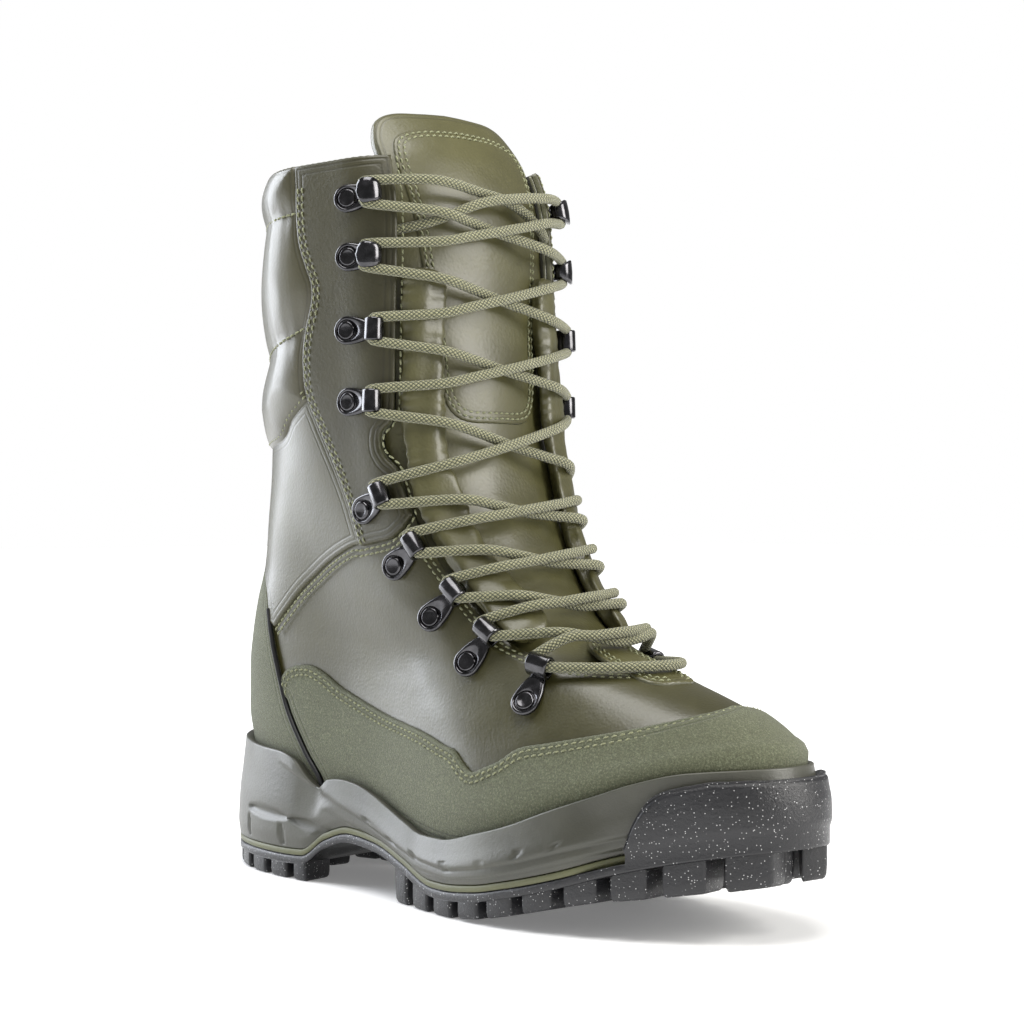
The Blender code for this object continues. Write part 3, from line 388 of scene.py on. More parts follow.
COLUMN_SPAN = 0.0064
CHART_LEVELS = np.linspace(0.0, TOP_LEVEL, 141)
_rings = np.stack([upper_point(np.arange(float(COLUMNS)), np.full(COLUMNS, level)) for level in CHART_LEVELS])
CHART_RISE = np.concatenate([[0.0], np.cumsum(np.linalg.norm(np.diff(_rings, axis=0), axis=2).mean(axis=1))])


def chart(path):
    """Columns and levels as flat lengths."""
    return np.stack([path[:, 0] * COLUMN_SPAN, np.interp(path[:, 1], CHART_LEVELS, CHART_RISE)], axis=1)


def unchart(flat):
    """Flat lengths as columns and levels."""
    return np.stack([flat[:, 0] / COLUMN_SPAN, np.interp(flat[:, 1], CHART_RISE, CHART_LEVELS)], axis=1)


def walk(path, step, closed=False):
    """Points along a line of columns and levels, a given length apart."""
    path = np.vstack([path, path[:1]]) if closed else np.asarray(path)
    length = run_length(skin(path[:, 0], path[:, 1]))
    count = max(int(round(length[-1] / step)), 2)
    places = np.linspace(0.0, length[-1], count + 1)
    return along_line(path, length, places[:-1] if closed else places)


def beside(path, distance, closed=False):
    """The line that lies to the left of another at a distance over the skin."""
    point, around, upward, normal = skin_axes(path[:, 0], path[:, 1])
    flat = chart(path)
    if closed:
        ahead = np.roll(point, -1, axis=0) - np.roll(point, 1, axis=0)
        flat_ahead = np.roll(flat, -1, axis=0) - np.roll(flat, 1, axis=0)
    else:
        ahead = np.gradient(point, axis=0)
        flat_ahead = np.gradient(flat, axis=0)
    away = np.cross(normal, ahead)
    away *= distance / np.linalg.norm(away, axis=1, keepdims=True)
    aa, ab, bb = (np.sum(a * b, axis=1) for a, b in ((around, around), (around, upward), (upward, upward)))
    ma, mb = np.sum(away * around, axis=1), np.sum(away * upward, axis=1)
    det = aa * bb - ab * ab
    move = np.stack([(ma * bb - mb * ab) / det, (mb * aa - ma * ab) / det], axis=1)
    flat_move = chart(path + move) - flat
    left = flat_ahead[:, 0] * flat_move[:, 1] - flat_ahead[:, 1] * flat_move[:, 0]
    return path + move * (1.0 if np.sum(left) > 0 else -1.0)


def inside(points, ring):
    """Which flat points lie inside a flat ring."""
    result = np.zeros(len(points), bool)
    ends = np.roll(ring, -1, axis=0)
    for (ax, ay), (bx, by) in zip(ring, ends):
        crosses = (ay > points[:, 1]) != (by > points[:, 1])
        if abs(by - ay) > 0:
            result ^= crosses & (points[:, 0] < (bx - ax) * (points[:, 1] - ay) / (by - ay) + ax)
    return result


def nearest(points, line):
    """Distance from each point to a line of close points."""
    result = np.empty(len(points))
    for start in range(0, len(points), 1500):
        part = points[start:start + 1500]
        result[start:start + 1500] = np.sqrt(((part[:, None, :] - line[None]) ** 2).sum(axis=2).min(axis=1))
    return result


# Meshes

def link_object(name, data):
    """An object in the scene around its data."""
    thing = bpy.data.objects.new(name, data)
    bpy.context.scene.collection.objects.link(thing)
    return thing


def add_piece(mesh, material, slot, *stands_for):
    """A smooth piece of the boot, named after its mesh, in place of the nodes that it stands for."""
    piece = link_object(mesh.name, mesh)
    mesh.materials.append(bpy.data.materials[material])
    mesh.polygons.foreach_set("use_smooth", [True] * len(mesh.polygons))
    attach(piece, "root")
    if stands_for:
        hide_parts(*stands_for)
    return piece


def mesh_of(name, points, faces, values=None):
    """A mesh with its values for each point, such as the distance from an edge."""
    mesh = bpy.data.meshes.new(name)
    mesh.from_pydata([tuple(p) for p in np.asarray(points, float).tolist()], [], faces)
    for key, numbers in (values or {}).items():
        layer = mesh.attributes.new(key, "FLOAT", "POINT")
        layer.data.foreach_set("value", np.asarray(numbers, np.float32).ravel())
    mesh.update()
    return mesh


def grid_faces(rows, columns, closed=False, caps=0):
    """Quads between rows of points, with a flat cap on the last row, or on the first one too."""
    faces = []
    for i in range(0, (rows - 1) * columns, columns):
        for j in range(columns if closed else columns - 1):
            k = (j + 1) % columns
            faces.append((i + j, i + k, i + columns + k, i + columns + j))
    if caps > 1:
        faces.append(tuple(reversed(range(columns))))
    if caps:
        faces.append(tuple(range((rows - 1) * columns, rows * columns)))
    return faces


INSETS = (0.00025, 0.0006, 0.0011, 0.0017, 0.0023, 0.0031, 0.0040, 0.0048)
EDGE_START = 0.25


def panel_mesh(name, ring, seat_lift, thickness, spacing=0.0026, border=0.0014, edge=0.0009, relief=None,
               skirt=0.0006, insets=INSETS, inward=False):
    """A piece of leather over the upper: its outline, its rounded cut edge and its relief."""
    ring = walk(ring, border, closed=True)
    flat = chart(ring)
    ahead = np.roll(flat, -1, axis=0)
    if np.sum(flat[:, 0] * ahead[:, 1] - ahead[:, 0] * flat[:, 1]) < 0:
        ring, flat = ring[::-1], flat[::-1]
    rim = walk(ring, 0.0004, closed=True)
    rim_points = skin(rim[:, 0], rim[:, 1])
    low, high = flat.min(axis=0), flat.max(axis=0)
    gx, gy = np.meshgrid(*(np.arange(low[k], high[k], spacing) for k in (0, 1)), indexing="ij")
    gx = gx + spacing / 2.0 * (np.arange(gx.shape[1]) % 2)
    grid = unchart(np.stack([gx.ravel(), gy.ravel()], axis=1))
    kept = [ring]
    for inset, row in [(d, beside(ring, d, True)) for d in insets] + [(insets[-1] + spacing * 0.4, grid)]:
        row = row[inside(chart(row), flat)]
        if len(row):
            away = nearest(skin(row[:, 0], row[:, 1]), rim_points)
            kept.append(row[away > inset * 0.85])
    flats = chart(np.vstack(kept))
    scaled = [Vector(p) for p in (flats * 1000.0).tolist()]
    corners, _, faces, _, _, _ = delaunay_2d_cdt(scaled, [], [list(range(len(ring)))], 1, 1e-4, False)
    place = unchart(np.array([tuple(v) for v in corners]) / 1000.0)
    point, _, _, normal = skin_axes(place[:, 0], place[:, 1])
    away = nearest(point, rim_points)
    round_share = np.sqrt(np.clip(1.0 - (1.0 - np.minimum(away / edge, 1.0)) ** 2, 0.0, 1.0))
    lift = seat_lift + thickness * (EDGE_START + (1.0 - EDGE_START) * round_share)
    if relief is not None:
        lift = lift + relief(place[:, 0], place[:, 1], point, away)
    top = point + normal * lift[:, None]
    flat_now = chart(place)
    centres = np.array([flat_now[list(f)].mean(axis=0) for f in faces])
    held = inside(centres, flat)
    faces = [tuple(f) for f, keep in zip(faces, held) if keep]
    a, b, c = (point[[f[i] for f in faces]] for i in range(3))
    facing = np.sum(np.cross(b - a, c - a) * normal[[f[0] for f in faces]])
    if (facing < 0) != inward:
        faces = [f[::-1] for f in faces]
    sides = {}
    for f in faces:
        for i in range(len(f)):
            sides[(f[i], f[(i + 1) % len(f)])] = True
    border_sides = [s for s in sides if (s[1], s[0]) not in sides]
    below = {}
    points = [tuple(p) for p in top]
    edges = list(away * 1000.0)
    for i in sorted({i for s in border_sides for i in s}):
        below[i] = len(points)
        points.append(tuple(point[i] + normal[i] * (seat_lift - (-skirt if inward else skirt))))
        edges.append(-0.4)
    faces += [(s[1], s[0], below[s[0]], below[s[1]]) for s in border_sides]
    mesh = mesh_of(name, points, faces, {"edge": edges})
    return mesh


def travel_axes(path):
    """Two axes across a path, carried along it without twist."""
    ahead = unit(np.gradient(path, axis=0))
    side = unit(np.cross(ahead[0], (0.0, 0.0, 1.0)))
    sides = []
    for direction in ahead:
        side = unit(side - direction * np.dot(side, direction))
        sides.append(side)
    sides = np.array(sides)
    return sides, np.cross(ahead, sides)


def even_path(points, step):
    """A path with its points an even step apart."""
    length = run_length(points)
    count = max(int(round(length[-1] / step)), 4)
    return along_line(points, length, np.linspace(0.0, length[-1], count + 1))


def join_meshes(name, parts):
    """One mesh from several (points, faces, values)."""
    points, faces, values, start = [], [], {}, 0
    for part_points, part_faces, part_values in parts:
        part_points = np.asarray(part_points, float).reshape(-1, 3)
        points.append(part_points)
        faces += [tuple(i + start for i in f) for f in part_faces]
        for key, numbers in part_values.items():
            values.setdefault(key, []).append(np.asarray(numbers, float).ravel())
        start += len(part_points)
    return mesh_of(name, np.vstack(points), faces, {k: np.concatenate(v) for k, v in values.items()})


STITCH_SIDES = 6
STITCH_PLACES = (0.0, 0.14, 0.5, 0.86, 1.0)


def stitch_parts(path, lift, settings):
    """Stitches along a line of columns and levels, at a lift over the skin."""
    pitch = settings.stitch_length + settings.stitch_gap
    line = walk(path, pitch)
    count = len(line) - 1
    share = settings.stitch_length / pitch
    starts = np.arange(count)
    rings = []
    for place in STITCH_PLACES:
        at = starts + place * share
        column = np.interp(at, np.arange(len(line)), line[:, 0])
        level = np.interp(at, np.arange(len(line)), line[:, 1])
        point, _, _, normal = skin_axes(column, level)
        nxt = skin(np.interp(at + 0.1, np.arange(len(line)), line[:, 0]),
                   np.interp(at + 0.1, np.arange(len(line)), line[:, 1]))
        ahead = nxt - point
        ahead /= np.maximum(np.linalg.norm(ahead, axis=1, keepdims=True), 1e-12)
        beside_axis = np.cross(normal, ahead)
        height = lift + settings.thread_radius * (1.5 * math.sin(math.pi * place) - 0.7)
        width = settings.thread_radius * (0.72 + 0.5 * math.sin(math.pi * place))
        middle = point + normal * height + beside_axis * (place - 0.5) * settings.stitch_slant
        turn = 2.0 * np.pi * np.arange(STITCH_SIDES) / STITCH_SIDES
        ring = (middle[:, None, :] + beside_axis[:, None, :] * (np.cos(turn) * width)[None, :, None]
                + normal[:, None, :] * (np.sin(turn) * width * 0.85)[None, :, None])
        rings.append(ring)
    block = np.stack(rings, axis=1)
    per = len(STITCH_PLACES) * STITCH_SIDES
    one = [f[::-1] for f in grid_faces(len(STITCH_PLACES), STITCH_SIDES, True, 2)]
    faces = [tuple(i + k * per for i in f) for k in range(count) for f in one]
    return block.reshape(-1, 3), faces, {}


def cord_parts(path, radius, sides, step=0.0008):
    """A round cord with how far along and around each point lies, for its braid."""
    path = even_path(path, step)
    side, up = travel_axes(path)
    turn = 2.0 * np.pi * np.arange(sides + 1) / sides
    along = run_length(path) / MM
    around = np.broadcast_to(turn / (2.0 * np.pi), (len(path), sides + 1))
    turns, strands = along[:, None] / BRAID_PITCH, around * BRAID_STRANDS
    wave = 1.0 + 0.035 * np.cos(2.0 * np.pi * (turns + strands)) * np.cos(2.0 * np.pi * (turns - strands))
    ring = (path[:, None, :] + side[:, None, :] * (np.cos(turn)[None, :, None] * radius * wave[..., None])
            + up[:, None, :] * (np.sin(turn)[None, :, None] * radius * wave[..., None]))
    faces = grid_faces(len(path), sides + 1)
    along = np.broadcast_to(along[:, None], around.shape)
    return ring.reshape(-1, 3), faces, {"along": along, "around": around}


BRAID_PITCH = 3.8
BRAID_STRANDS = 4


# Materials

class Shade:
    """Short calls for a node tree."""

    def __init__(self, tree):
        self.tree = tree

    def add(self, kind, values=None, **settings):
        node = self.tree.nodes.new("ShaderNode" + kind)
        for key, value in settings.items():
            setattr(node, key, value)
        self.feed(node, values or {})
        return node

    def feed(self, node, values):
        """Links sockets to a node's inputs, and sets the others to plain values."""
        for key, value in values.items():
            if isinstance(value, bpy.types.NodeSocket):
                self.tree.links.new(value, node.inputs[key])
            else:
                node.inputs[key].default_value = value

    def group(self, name, values):
        node = self.add("Group", node_tree=bpy.data.node_groups[name])
        self.feed(node, values)
        return node.outputs

    def noise(self, scale, detail, **more):
        """A noise in the piece's own coordinates."""
        place = self.add("TexCoord").outputs["Object"]
        values = {"Vector": place, "Scale": scale, "Detail": detail, **more}
        return self.add("TexNoise", values).outputs["Fac"]

    def math(self, operation, a, b=0.0, clamp=False):
        node = self.add("Math", {0: a, 1: b}, operation=operation)
        node.use_clamp = clamp
        return node.outputs[0]

    def range(self, value, low, high, start=0.0, end=1.0, kind="SMOOTHSTEP"):
        node = self.add("MapRange", {"Value": value, "From Min": low, "From Max": high, "To Min": start,
                                     "To Max": end}, interpolation_type=kind)
        return node.outputs["Result"]

    def mix(self, factor, a, b):
        return self.add("Mix", {0: factor, 6: a, 7: b}, data_type="RGBA").outputs[2]

    def tones(self, factor, tone, low, high):
        """A tone that runs between two strengths."""
        return self.mix(factor, colour(tone, low), colour(tone, high))

    def over(self, base, mask, share, tone, gain=1.0):
        """A tone laid over a base where a mask is, at a share of its strength."""
        return self.mix(self.math("MULTIPLY", mask, share), base, colour(tone, gain))

    def value(self, name):
        return self.add("Attribute", attribute_name=name).outputs["Fac"]

    def sewn(self, second):
        """The seams beside a panel's edge, with the second row at a distance in mm."""
        first = bpy.context.scene.boot_leather.first_row * 1000.0
        return self.group("sewn_edge", {"Edge": self.value("edge"), "First": first, "Second": second})


WHITE = (1.0, 1.0, 1.0, 1.0)


def colour(rgb, gain=1.0):
    return (rgb[0] * gain, rgb[1] * gain, rgb[2] * gain, 1.0)


def new_group(name, inputs, outputs):
    """A shader node group: its calls, its inputs, and a call that feeds a named output."""
    tree = bpy.data.node_groups.new(name, "ShaderNodeTree")
    for label, default in inputs:
        socket = tree.interface.new_socket(label, in_out="INPUT", socket_type="NodeSocketFloat")
        socket.default_value = default
    for label in outputs:
        tree.interface.new_socket(label, in_out="OUTPUT", socket_type="NodeSocketFloat")
    shade, ends = Shade(tree), tree.nodes.new("NodeGroupOutput")
    given = tree.nodes.new("NodeGroupInput").outputs
    return shade, given, lambda label, socket: shade.feed(ends, {label: socket})


def make_grain_group():
    """Fine pebbles of leather with soft wrinkles between them."""
    shade, given, out = new_group("leather_grain", [("Cell", 900.0), ("Wrinkle", 160.0)], ("Height", "Tone"))
    place = shade.add("TexCoord").outputs["Object"]
    cells = shade.add("TexVoronoi", {"Vector": place, "Scale": given["Cell"]}, feature="SMOOTH_F1")
    fine = shade.noise(given["Wrinkle"], 6.0, Roughness=0.62, Distortion=0.6)
    broad = shade.noise(22.0, 3.0)
    pores = shade.range(cells.outputs["Distance"], 0.0, 0.75)
    height = shade.math("ADD", shade.math("MULTIPLY", pores, -0.45),
                        shade.math("MULTIPLY", fine, 1.1))
    out("Height", height)
    out("Tone", shade.math("ADD", shade.math("MULTIPLY", fine, 0.35), shade.math("MULTIPLY", broad, 0.65)))


def make_seam_group():
    """Grooves under two rows of stitches, the puckers beside them and the cut edge, with a mask of the grooves for
    painted shade.
    """
    shade, given, out = new_group("sewn_edge", [("Edge", 5.0), ("First", 1.9), ("Second", 4.0)],
                                  ("Height", "Cut", "Groove"))
    edge = given["Edge"]
    wave = shade.noise(330.0, 2.0)
    grooves = []
    for row in ("First", "Second"):
        away = shade.math("ABSOLUTE", shade.math("SUBTRACT", edge, given[row]))
        grooves.append(shade.range(away, 0.0, 0.75, 1.0, 0.0))
    groove = shade.math("MAXIMUM", grooves[0], grooves[1])
    height = shade.math("MULTIPLY", groove, shade.math("ADD", -0.6, shade.math("MULTIPLY", wave, -0.5)))
    out("Height", height)
    # The grooves' mask goes out for painted shade: the materials darken their colour in the grooves.
    out("Groove", groove)
    cut = shade.range(shade.math("ADD", edge, shade.math("MULTIPLY", wave, 0.25)), 0.22, 0.42, 1.0, 0.0)
    out("Cut", cut)


def make_speckle_group():
    """Scattered light specks."""
    shade, given, out = new_group("specks", [("Scale", 700.0), ("Amount", 0.2)], ("Mask",))
    place = shade.add("TexCoord").outputs["Object"]
    cells = shade.add("TexVoronoi", {"Vector": place, "Scale": given["Scale"]}, feature="F1")
    pick = shade.add("SeparateColor", {0: cells.outputs["Color"]}).outputs[0]
    size = shade.range(cells.outputs["Distance"], 0.10, 0.26, 1.0, 0.0)
    chosen = shade.math("LESS_THAN", pick, given["Amount"])
    out("Mask", shade.math("MULTIPLY", size, chosen))


def make_rough_group():
    """Coarse crumbs of a rough rubbered leather."""
    shade, given, out = new_group("rough_crumbs", [("Scale", 520.0)], ("Height", "Light", "Tone"))
    crumbs = shade.noise(given["Scale"], 4.0, Roughness=0.7)
    broad = shade.noise(40.0, 3.0)
    out("Height", crumbs)
    out("Light", shade.range(crumbs, 0.50, 0.72))
    out("Tone", broad)


def make_braid_group():
    """Strands that cross over and under around a cord."""
    shade, given, out = new_group("braid", [("Along", 0.0), ("Around", 0.0)], ("Height", "Dark", "Tone"))
    along = shade.math("MULTIPLY", given["Along"], 2.0 / BRAID_PITCH)
    around = shade.math("MULTIPLY", given["Around"], 2.0 * BRAID_STRANDS)
    rows = []
    for operation in ("ADD", "SUBTRACT"):
        phase = shade.math("FRACT", shade.math(operation, along, around))
        rows.append(shade.math("SINE", shade.math("MULTIPLY", phase, math.pi)))
    height = shade.math("MULTIPLY", rows[0], rows[1])
    out("Height", height)
    out("Dark", shade.range(height, 0.14, 0.56, 1.0, 0.0))
    fibres = shade.noise(1500.0, 3.0)
    out("Tone", fibres)


def new_material(name, roughness, metallic=0.0, coat=0.0, coat_roughness=0.3, specular=0.5, sheen=0.0):
    """A material with its constant values set: its calls and its shader."""
    material = bpy.data.materials.new(name)
    material.use_nodes = True
    shade, shader = Shade(material.node_tree), material.node_tree.nodes["Principled BSDF"]
    shade.feed(shader, {"Roughness": roughness, "Metallic": metallic, "Coat Weight": coat,
                        "Coat Roughness": coat_roughness, "Specular IOR Level": specular,
                        "Sheen Weight": sheen})
    return shade, shader


def finish_material(shade, shader, base, height, strength, depth, roughness=None):
    """Gives a shader its colour, its bump and its varying roughness."""
    bump = shade.add("Bump", {"Height": height, "Strength": strength, "Distance": depth})
    shade.feed(shader, {"Base Color": base, "Normal": bump.outputs["Normal"]})
    if roughness is not None:
        shade.feed(shader, {"Roughness": roughness})


def leather_material(name, tone, cell, wrinkle, gloss, strength, second=4.0, seams=True, coat=0.35):
    """Grained leather with the seams along its panel's edge."""
    shade, shader = new_material(name, gloss, coat=coat, coat_roughness=0.24, specular=0.5)
    grain = shade.group("leather_grain", {"Cell": cell, "Wrinkle": wrinkle})
    base = shade.tones(shade.range(grain["Tone"], 0.3, 0.7), tone, 0.86, 1.16)
    height = shade.math("MULTIPLY", grain["Height"], 0.30)
    if seams:
        sewn = shade.sewn(second)
        # Painted shade: the colour is darkened in the stitch grooves.
        base = shade.over(base, sewn["Groove"], 0.35, tone, 0.45)
        base = shade.mix(sewn["Cut"], base, colour(bpy.context.scene.boot_leather.raw_edge))
        height = shade.math("ADD", height, shade.math("MULTIPLY", sewn["Height"], 0.55))
    rough = shade.range(grain["Tone"], 0.3, 0.75, gloss - 0.05, gloss + 0.09, "LINEAR")
    finish_material(shade, shader, base, height, strength, 0.0011, rough)


def rough_material(name, tone):
    """Rough leather with light crumbs."""
    settings = bpy.context.scene.boot_leather
    shade, shader = new_material(name, 0.8, specular=0.35, sheen=0.15)
    crumbs = shade.group("rough_crumbs", {"Scale": 1500.0})
    specks = shade.group("specks", {"Scale": 1150.0, "Amount": 0.16})
    base = shade.tones(shade.range(crumbs["Height"], 0.32, 0.68), tone, 0.62, 1.18)
    base = shade.over(base, crumbs["Light"], 0.24, settings.rough_light)
    base = shade.over(base, specks["Mask"], 0.30, settings.rough_light)
    base = shade.mix(shade.range(crumbs["Tone"], 0.35, 0.7, 0.0, 0.22), base, colour(tone, 0.6))
    sewn = shade.sewn(settings.second_row * 1000.0)
    # Painted shade: the colour is darkened in the stitch grooves.
    base = shade.over(base, sewn["Groove"], 0.4, tone, 0.5)
    height = shade.math("ADD", crumbs["Height"], shade.math("MULTIPLY", sewn["Height"], 0.6))
    finish_material(shade, shader, base, height, 0.8, 0.0007)


def plain_material(name, tone, roughness, scale, strength, depth, spread=0.12, specular=0.5, coat=0.0,
                   specks=None):
    """Cloth, foam or rubber, with specks where a pair of amount and colour is given."""
    shade, shader = new_material(name, roughness, coat=coat, coat_roughness=0.25, specular=specular)
    crumbs = shade.group("rough_crumbs", {"Scale": scale})
    base = shade.tones(shade.range(crumbs["Tone"], 0.3, 0.7), tone, 1.0 - spread, 1.0 + spread)
    if specks:
        amount, light = specks
        dots = shade.group("specks", {"Scale": 1050.0, "Amount": amount})
        base = shade.over(base, dots["Mask"], 0.85, light)
    finish_material(shade, shader, base, crumbs["Height"], strength, depth,
                    shade.range(crumbs["Tone"], 0.3, 0.7, roughness - 0.04, roughness + 0.06, "LINEAR"))


def cord_material():
    """The lace's braid of light and dark strands."""
    lacing = bpy.context.scene.boot_lacing
    shade, shader = new_material("lace_cord", 0.75, specular=0.3, sheen=0.25)
    braid = shade.group("braid", {"Along": shade.value("along"), "Around": shade.value("around")})
    base = shade.tones(shade.range(braid["Tone"], 0.3, 0.7), lacing.cord_colour, 0.78, 1.12)
    base = shade.over(base, braid["Dark"], 0.88, lacing.cord_dark)
    height = shade.math("ADD", braid["Height"], shade.math("MULTIPLY", braid["Tone"], 0.25))
    finish_material(shade, shader, base, height, 0.9, 0.0006)


def thread_material():
    """Twisted sewing thread."""
    shade, shader = new_material("sewing_thread", 0.65, specular=0.35, sheen=0.1)
    twist = shade.noise(2200.0, 2.0)
    base = shade.tones(shade.range(twist, 0.35, 0.65), bpy.context.scene.boot_leather.thread, 0.55, 1.1)
    finish_material(shade, shader, base, twist, 0.6, 0.0003)


def metal_material():
    """Dark metal, a little worn."""
    shade, shader = new_material("eyelet_metal", 0.16, metallic=1.0, coat=0.5, coat_roughness=0.08)
    wear = shade.noise(260.0, 5.0)
    base = shade.tones(shade.range(wear, 0.35, 0.7), bpy.context.scene.boot_lacing.metal_colour, 0.7, 1.4)
    rough = shade.range(wear, 0.3, 0.7, 0.12, 0.26, "LINEAR")
    finish_material(shade, shader, base, wear, 0.06, 0.0003, rough)


# Outlines of the panels

BOTTOM_LEVEL = 0.12


def joined(*lines):
    """One line from several, end to end."""
    return np.vstack([np.asarray(line, float).reshape(-1, 2) for line in lines])


def around_heel(outer):
    """The other side of a line on the outer half, carried past the heel."""
    other = outer[::-1].copy()
    other[:, 0] = COLUMNS - other[:, 0]
    return other


def across_toe(outer):
    """The other side of a line on the outer half, carried past the toe."""
    other = outer[::-1].copy()
    other[:, 0] = -other[:, 0]
    return other


def level_run(first, last, level, count=60):
    """A line at one level, from one column to another."""
    return np.stack([np.linspace(first, last, count), np.full(count, float(level))], axis=1)


def throat_line():
    """The throat's edge on the outer side, from its foot up to the collar."""
    rest = [knot for knot in THROAT_EDGE if knot[1] > THROAT_FOOT[-1][1]]
    line = front_line(list(THROAT_FOOT) + rest)
    top = line[-1, 0]
    left = COLLAR_LEVEL - line[-1, 1]
    return np.vstack([line] + [(top - 0.02 * k, line[-1, 1] + left * k / 4.0) for k in range(1, 5)])


# Half of the tongue's sewn panel seen from the front.
TONGUE_PANEL = ((0.0, 0.632), (0.150, 0.634), (0.215, 0.652), (0.245, 0.690), (0.258, 0.760), (0.300, 0.880),
                (0.330, 0.960), (0.325, 1.000), (0.285, 1.022), (0.180, 1.034), (0.0, 1.038))


# Half of the tab sewn over the foot of the throat.
TAB = ((0.0, 0.299), (0.100, 0.300), (0.118, 0.318), (0.104, 0.338), (0.060, 0.349), (0.0, 0.350))


class Outlines:
    """The outlines of the boot's panels, as columns and levels."""

    def __init__(self):
        self.throat = throat_line()
        rise = skin(self.throat[:, 0], self.throat[:, 1])[:, 2]
        self.throat[:, 0] += 0.95 * np.exp(-((rise - 0.176) / 0.0075) ** 4)
        self.piping = side_line(PIPING_LINE)
        counter_top = joined(side_line(COUNTER_TOP), [(HEEL, level_of(HEEL, COUNTER_BACK * COLLAR_HEIGHT))])
        half = joined(self.piping, counter_top[1:])
        foot = self.piping[0, 0]
        self.counter_edge = joined(half, around_heel(half)[1:])
        self.counter = joined(self.counter_edge, level_run(COLUMNS - foot, foot, BOTTOM_LEVEL))
        rand_half = joined(side_line(RAND_TOP), [(0.0, level_of(0.0, RAND_TOE * COLLAR_HEIGHT))])
        rand_back = self.piping[self.piping[:, 1] < rand_half[0, 1]]
        rand_back = rand_back + [-0.14, 0.0]
        self.rand_top = joined(rand_half, across_toe(rand_half)[1:])
        first = rand_back[0, 0]
        self.rand = joined(rand_back, self.rand_top, across_toe(rand_back),
                           level_run(-first, first, BOTTOM_LEVEL))
        self.quarter_seam = side_line(VAMP_SEAM)
        self.eyestay_back = side_line(EYESTAY_BACK)
        self.eyestay_foot = side_line(EYESTAY_BOTTOM)
        pad_low = side_line(PAD_BOTTOM)
        self.pad_low = joined(pad_low, [(HEEL, level_of(HEEL, PAD_BACK * COLLAR_HEIGHT))])
        meet = np.argmin(np.abs(self.eyestay_back[:, 1] - pad_low[0, 1]))
        under = self.eyestay_back[:meet + 1] + [-0.05, 0.0]
        low_tuck = self.pad_low + [0.0, 0.05]
        top = counter_top[::-1]
        self.quarter = joined(self.quarter_seam, under[1:], low_tuck, [(HEEL, top[0, 1])],
                              top[1:] + [0.0, -0.05], self.piping[::-1][:6] + [0.06, 0.0])
        front = self.throat[self.throat[:, 1] > self.eyestay_foot[-1, 1] + 0.15]
        rim = level_run(front[-1, 0], self.eyestay_back[-1, 0], COLLAR_LEVEL, 16)
        self.eyestay = joined(self.eyestay_foot, front, rim[1:], self.eyestay_back[::-1][:-1])
        self.eyestay_front = joined(self.eyestay_foot[-4:], front)
        tuck = self.eyestay_back[meet:]
        half = joined(self.pad_low[::-1], tuck[1:], [(tuck[-1, 0], COLLAR_LEVEL + 0.02)])
        other = around_heel(half)
        self.pad = joined(half, level_run(half[-1, 0], COLUMNS - half[-1, 0], COLLAR_LEVEL + 0.02, 40)[1:-1],
                          other[:-1])
        rim = level_run(self.throat[-1, 0], HEEL, COLLAR_LEVEL, 40)
        outer = joined(self.throat, rim[1:], [(HEEL, COLLAR_LEVEL)])
        back = np.stack([np.full(30, HEEL), np.linspace(COLLAR_LEVEL, 0.0, 30)], axis=1)
        half = joined(outer, back[1:])
        self.vamp = joined(half, level_run(HEEL, -HEEL, 0.0, 96)[1:-1], across_toe(half)[:-1])
        cover = 0.0065
        sides = [(0.0, 0.279), (0.080, 0.280)]
        sides += [(share + cover / SHAFT_WIDTH, z) for share, z in THROAT_EDGE if 0.29 < z < 0.95]
        half = front_line(sides + list(TONGUE_TOP) + [(0.0, 1.068)])
        self.tongue = joined(half, across_toe(half)[1:-1])
        half = front_line(TAB)
        self.tab = joined(half, across_toe(half)[1:-1])
        half = front_line(TONGUE_PANEL)
        self.tongue_panel = joined(half, across_toe(half)[1:-1])


def mirror(line, side):
    """The same line on the inner side of the boot."""
    if side < 0:
        return line
    other = line.copy()
    other[:, 0] = -other[:, 0]
    return other


def inner_line(line, ring, distance):
    """A line beside another, on the side where the ring's inside lies."""
    line = walk(line, 0.0012)
    best, count = None, -1
    for way in (distance, -distance):
        other = beside(line, way)
        held = int(inside(chart(other), chart(ring)).sum())
        if held > count:
            best, count = other, held
    return best


# Relief of the soft pieces

def trough(point, start, end, width, depth):
    """A soft crease between two points over the boot's own form."""
    start, end = np.array(start) * MM, np.array(end) * MM
    ahead = end - start
    share = np.clip(((point - start) @ ahead) / (ahead @ ahead), 0.0, 1.0)
    away = np.linalg.norm(point - (start + share[:, None] * ahead), axis=1)
    fade = np.clip(np.minimum(share, 1.0 - share) * 4.0, 0.0, 1.0)
    profile = bell(away, width * MM) - 0.45 * bell(away - 1.9 * width * MM, width * MM)
    return -depth * MM * profile * (0.35 + 0.65 * fade)


def ripple(point, size, depth, seed):
    """Slow swells of the leather, from a few crossing waves."""
    total = np.zeros(len(point))
    rng = np.random.default_rng(seed)
    for k in range(7):
        direction = rng.normal(size=3)
        direction /= np.linalg.norm(direction)
        turns = 2.0 * math.pi / (size * rng.uniform(0.7, 1.6))
        total += np.sin(point @ direction * turns + rng.uniform(0, 6.28))
    return total / 7.0 * depth


# Creases: start and end in mm, width and depth in mm. Both sides get them.
CREASES = (
    ((100, -43, 106), (134, -38, 90), 5.0, 0.5),
    ((120, -44, 86), (158, -36, 78), 5.0, 0.5),
    ((158, -40, 66), (184, -32, 80), 6.0, 0.5),
    ((30, -50, 112), (66, -49, 100), 7.0, 0.4),
)


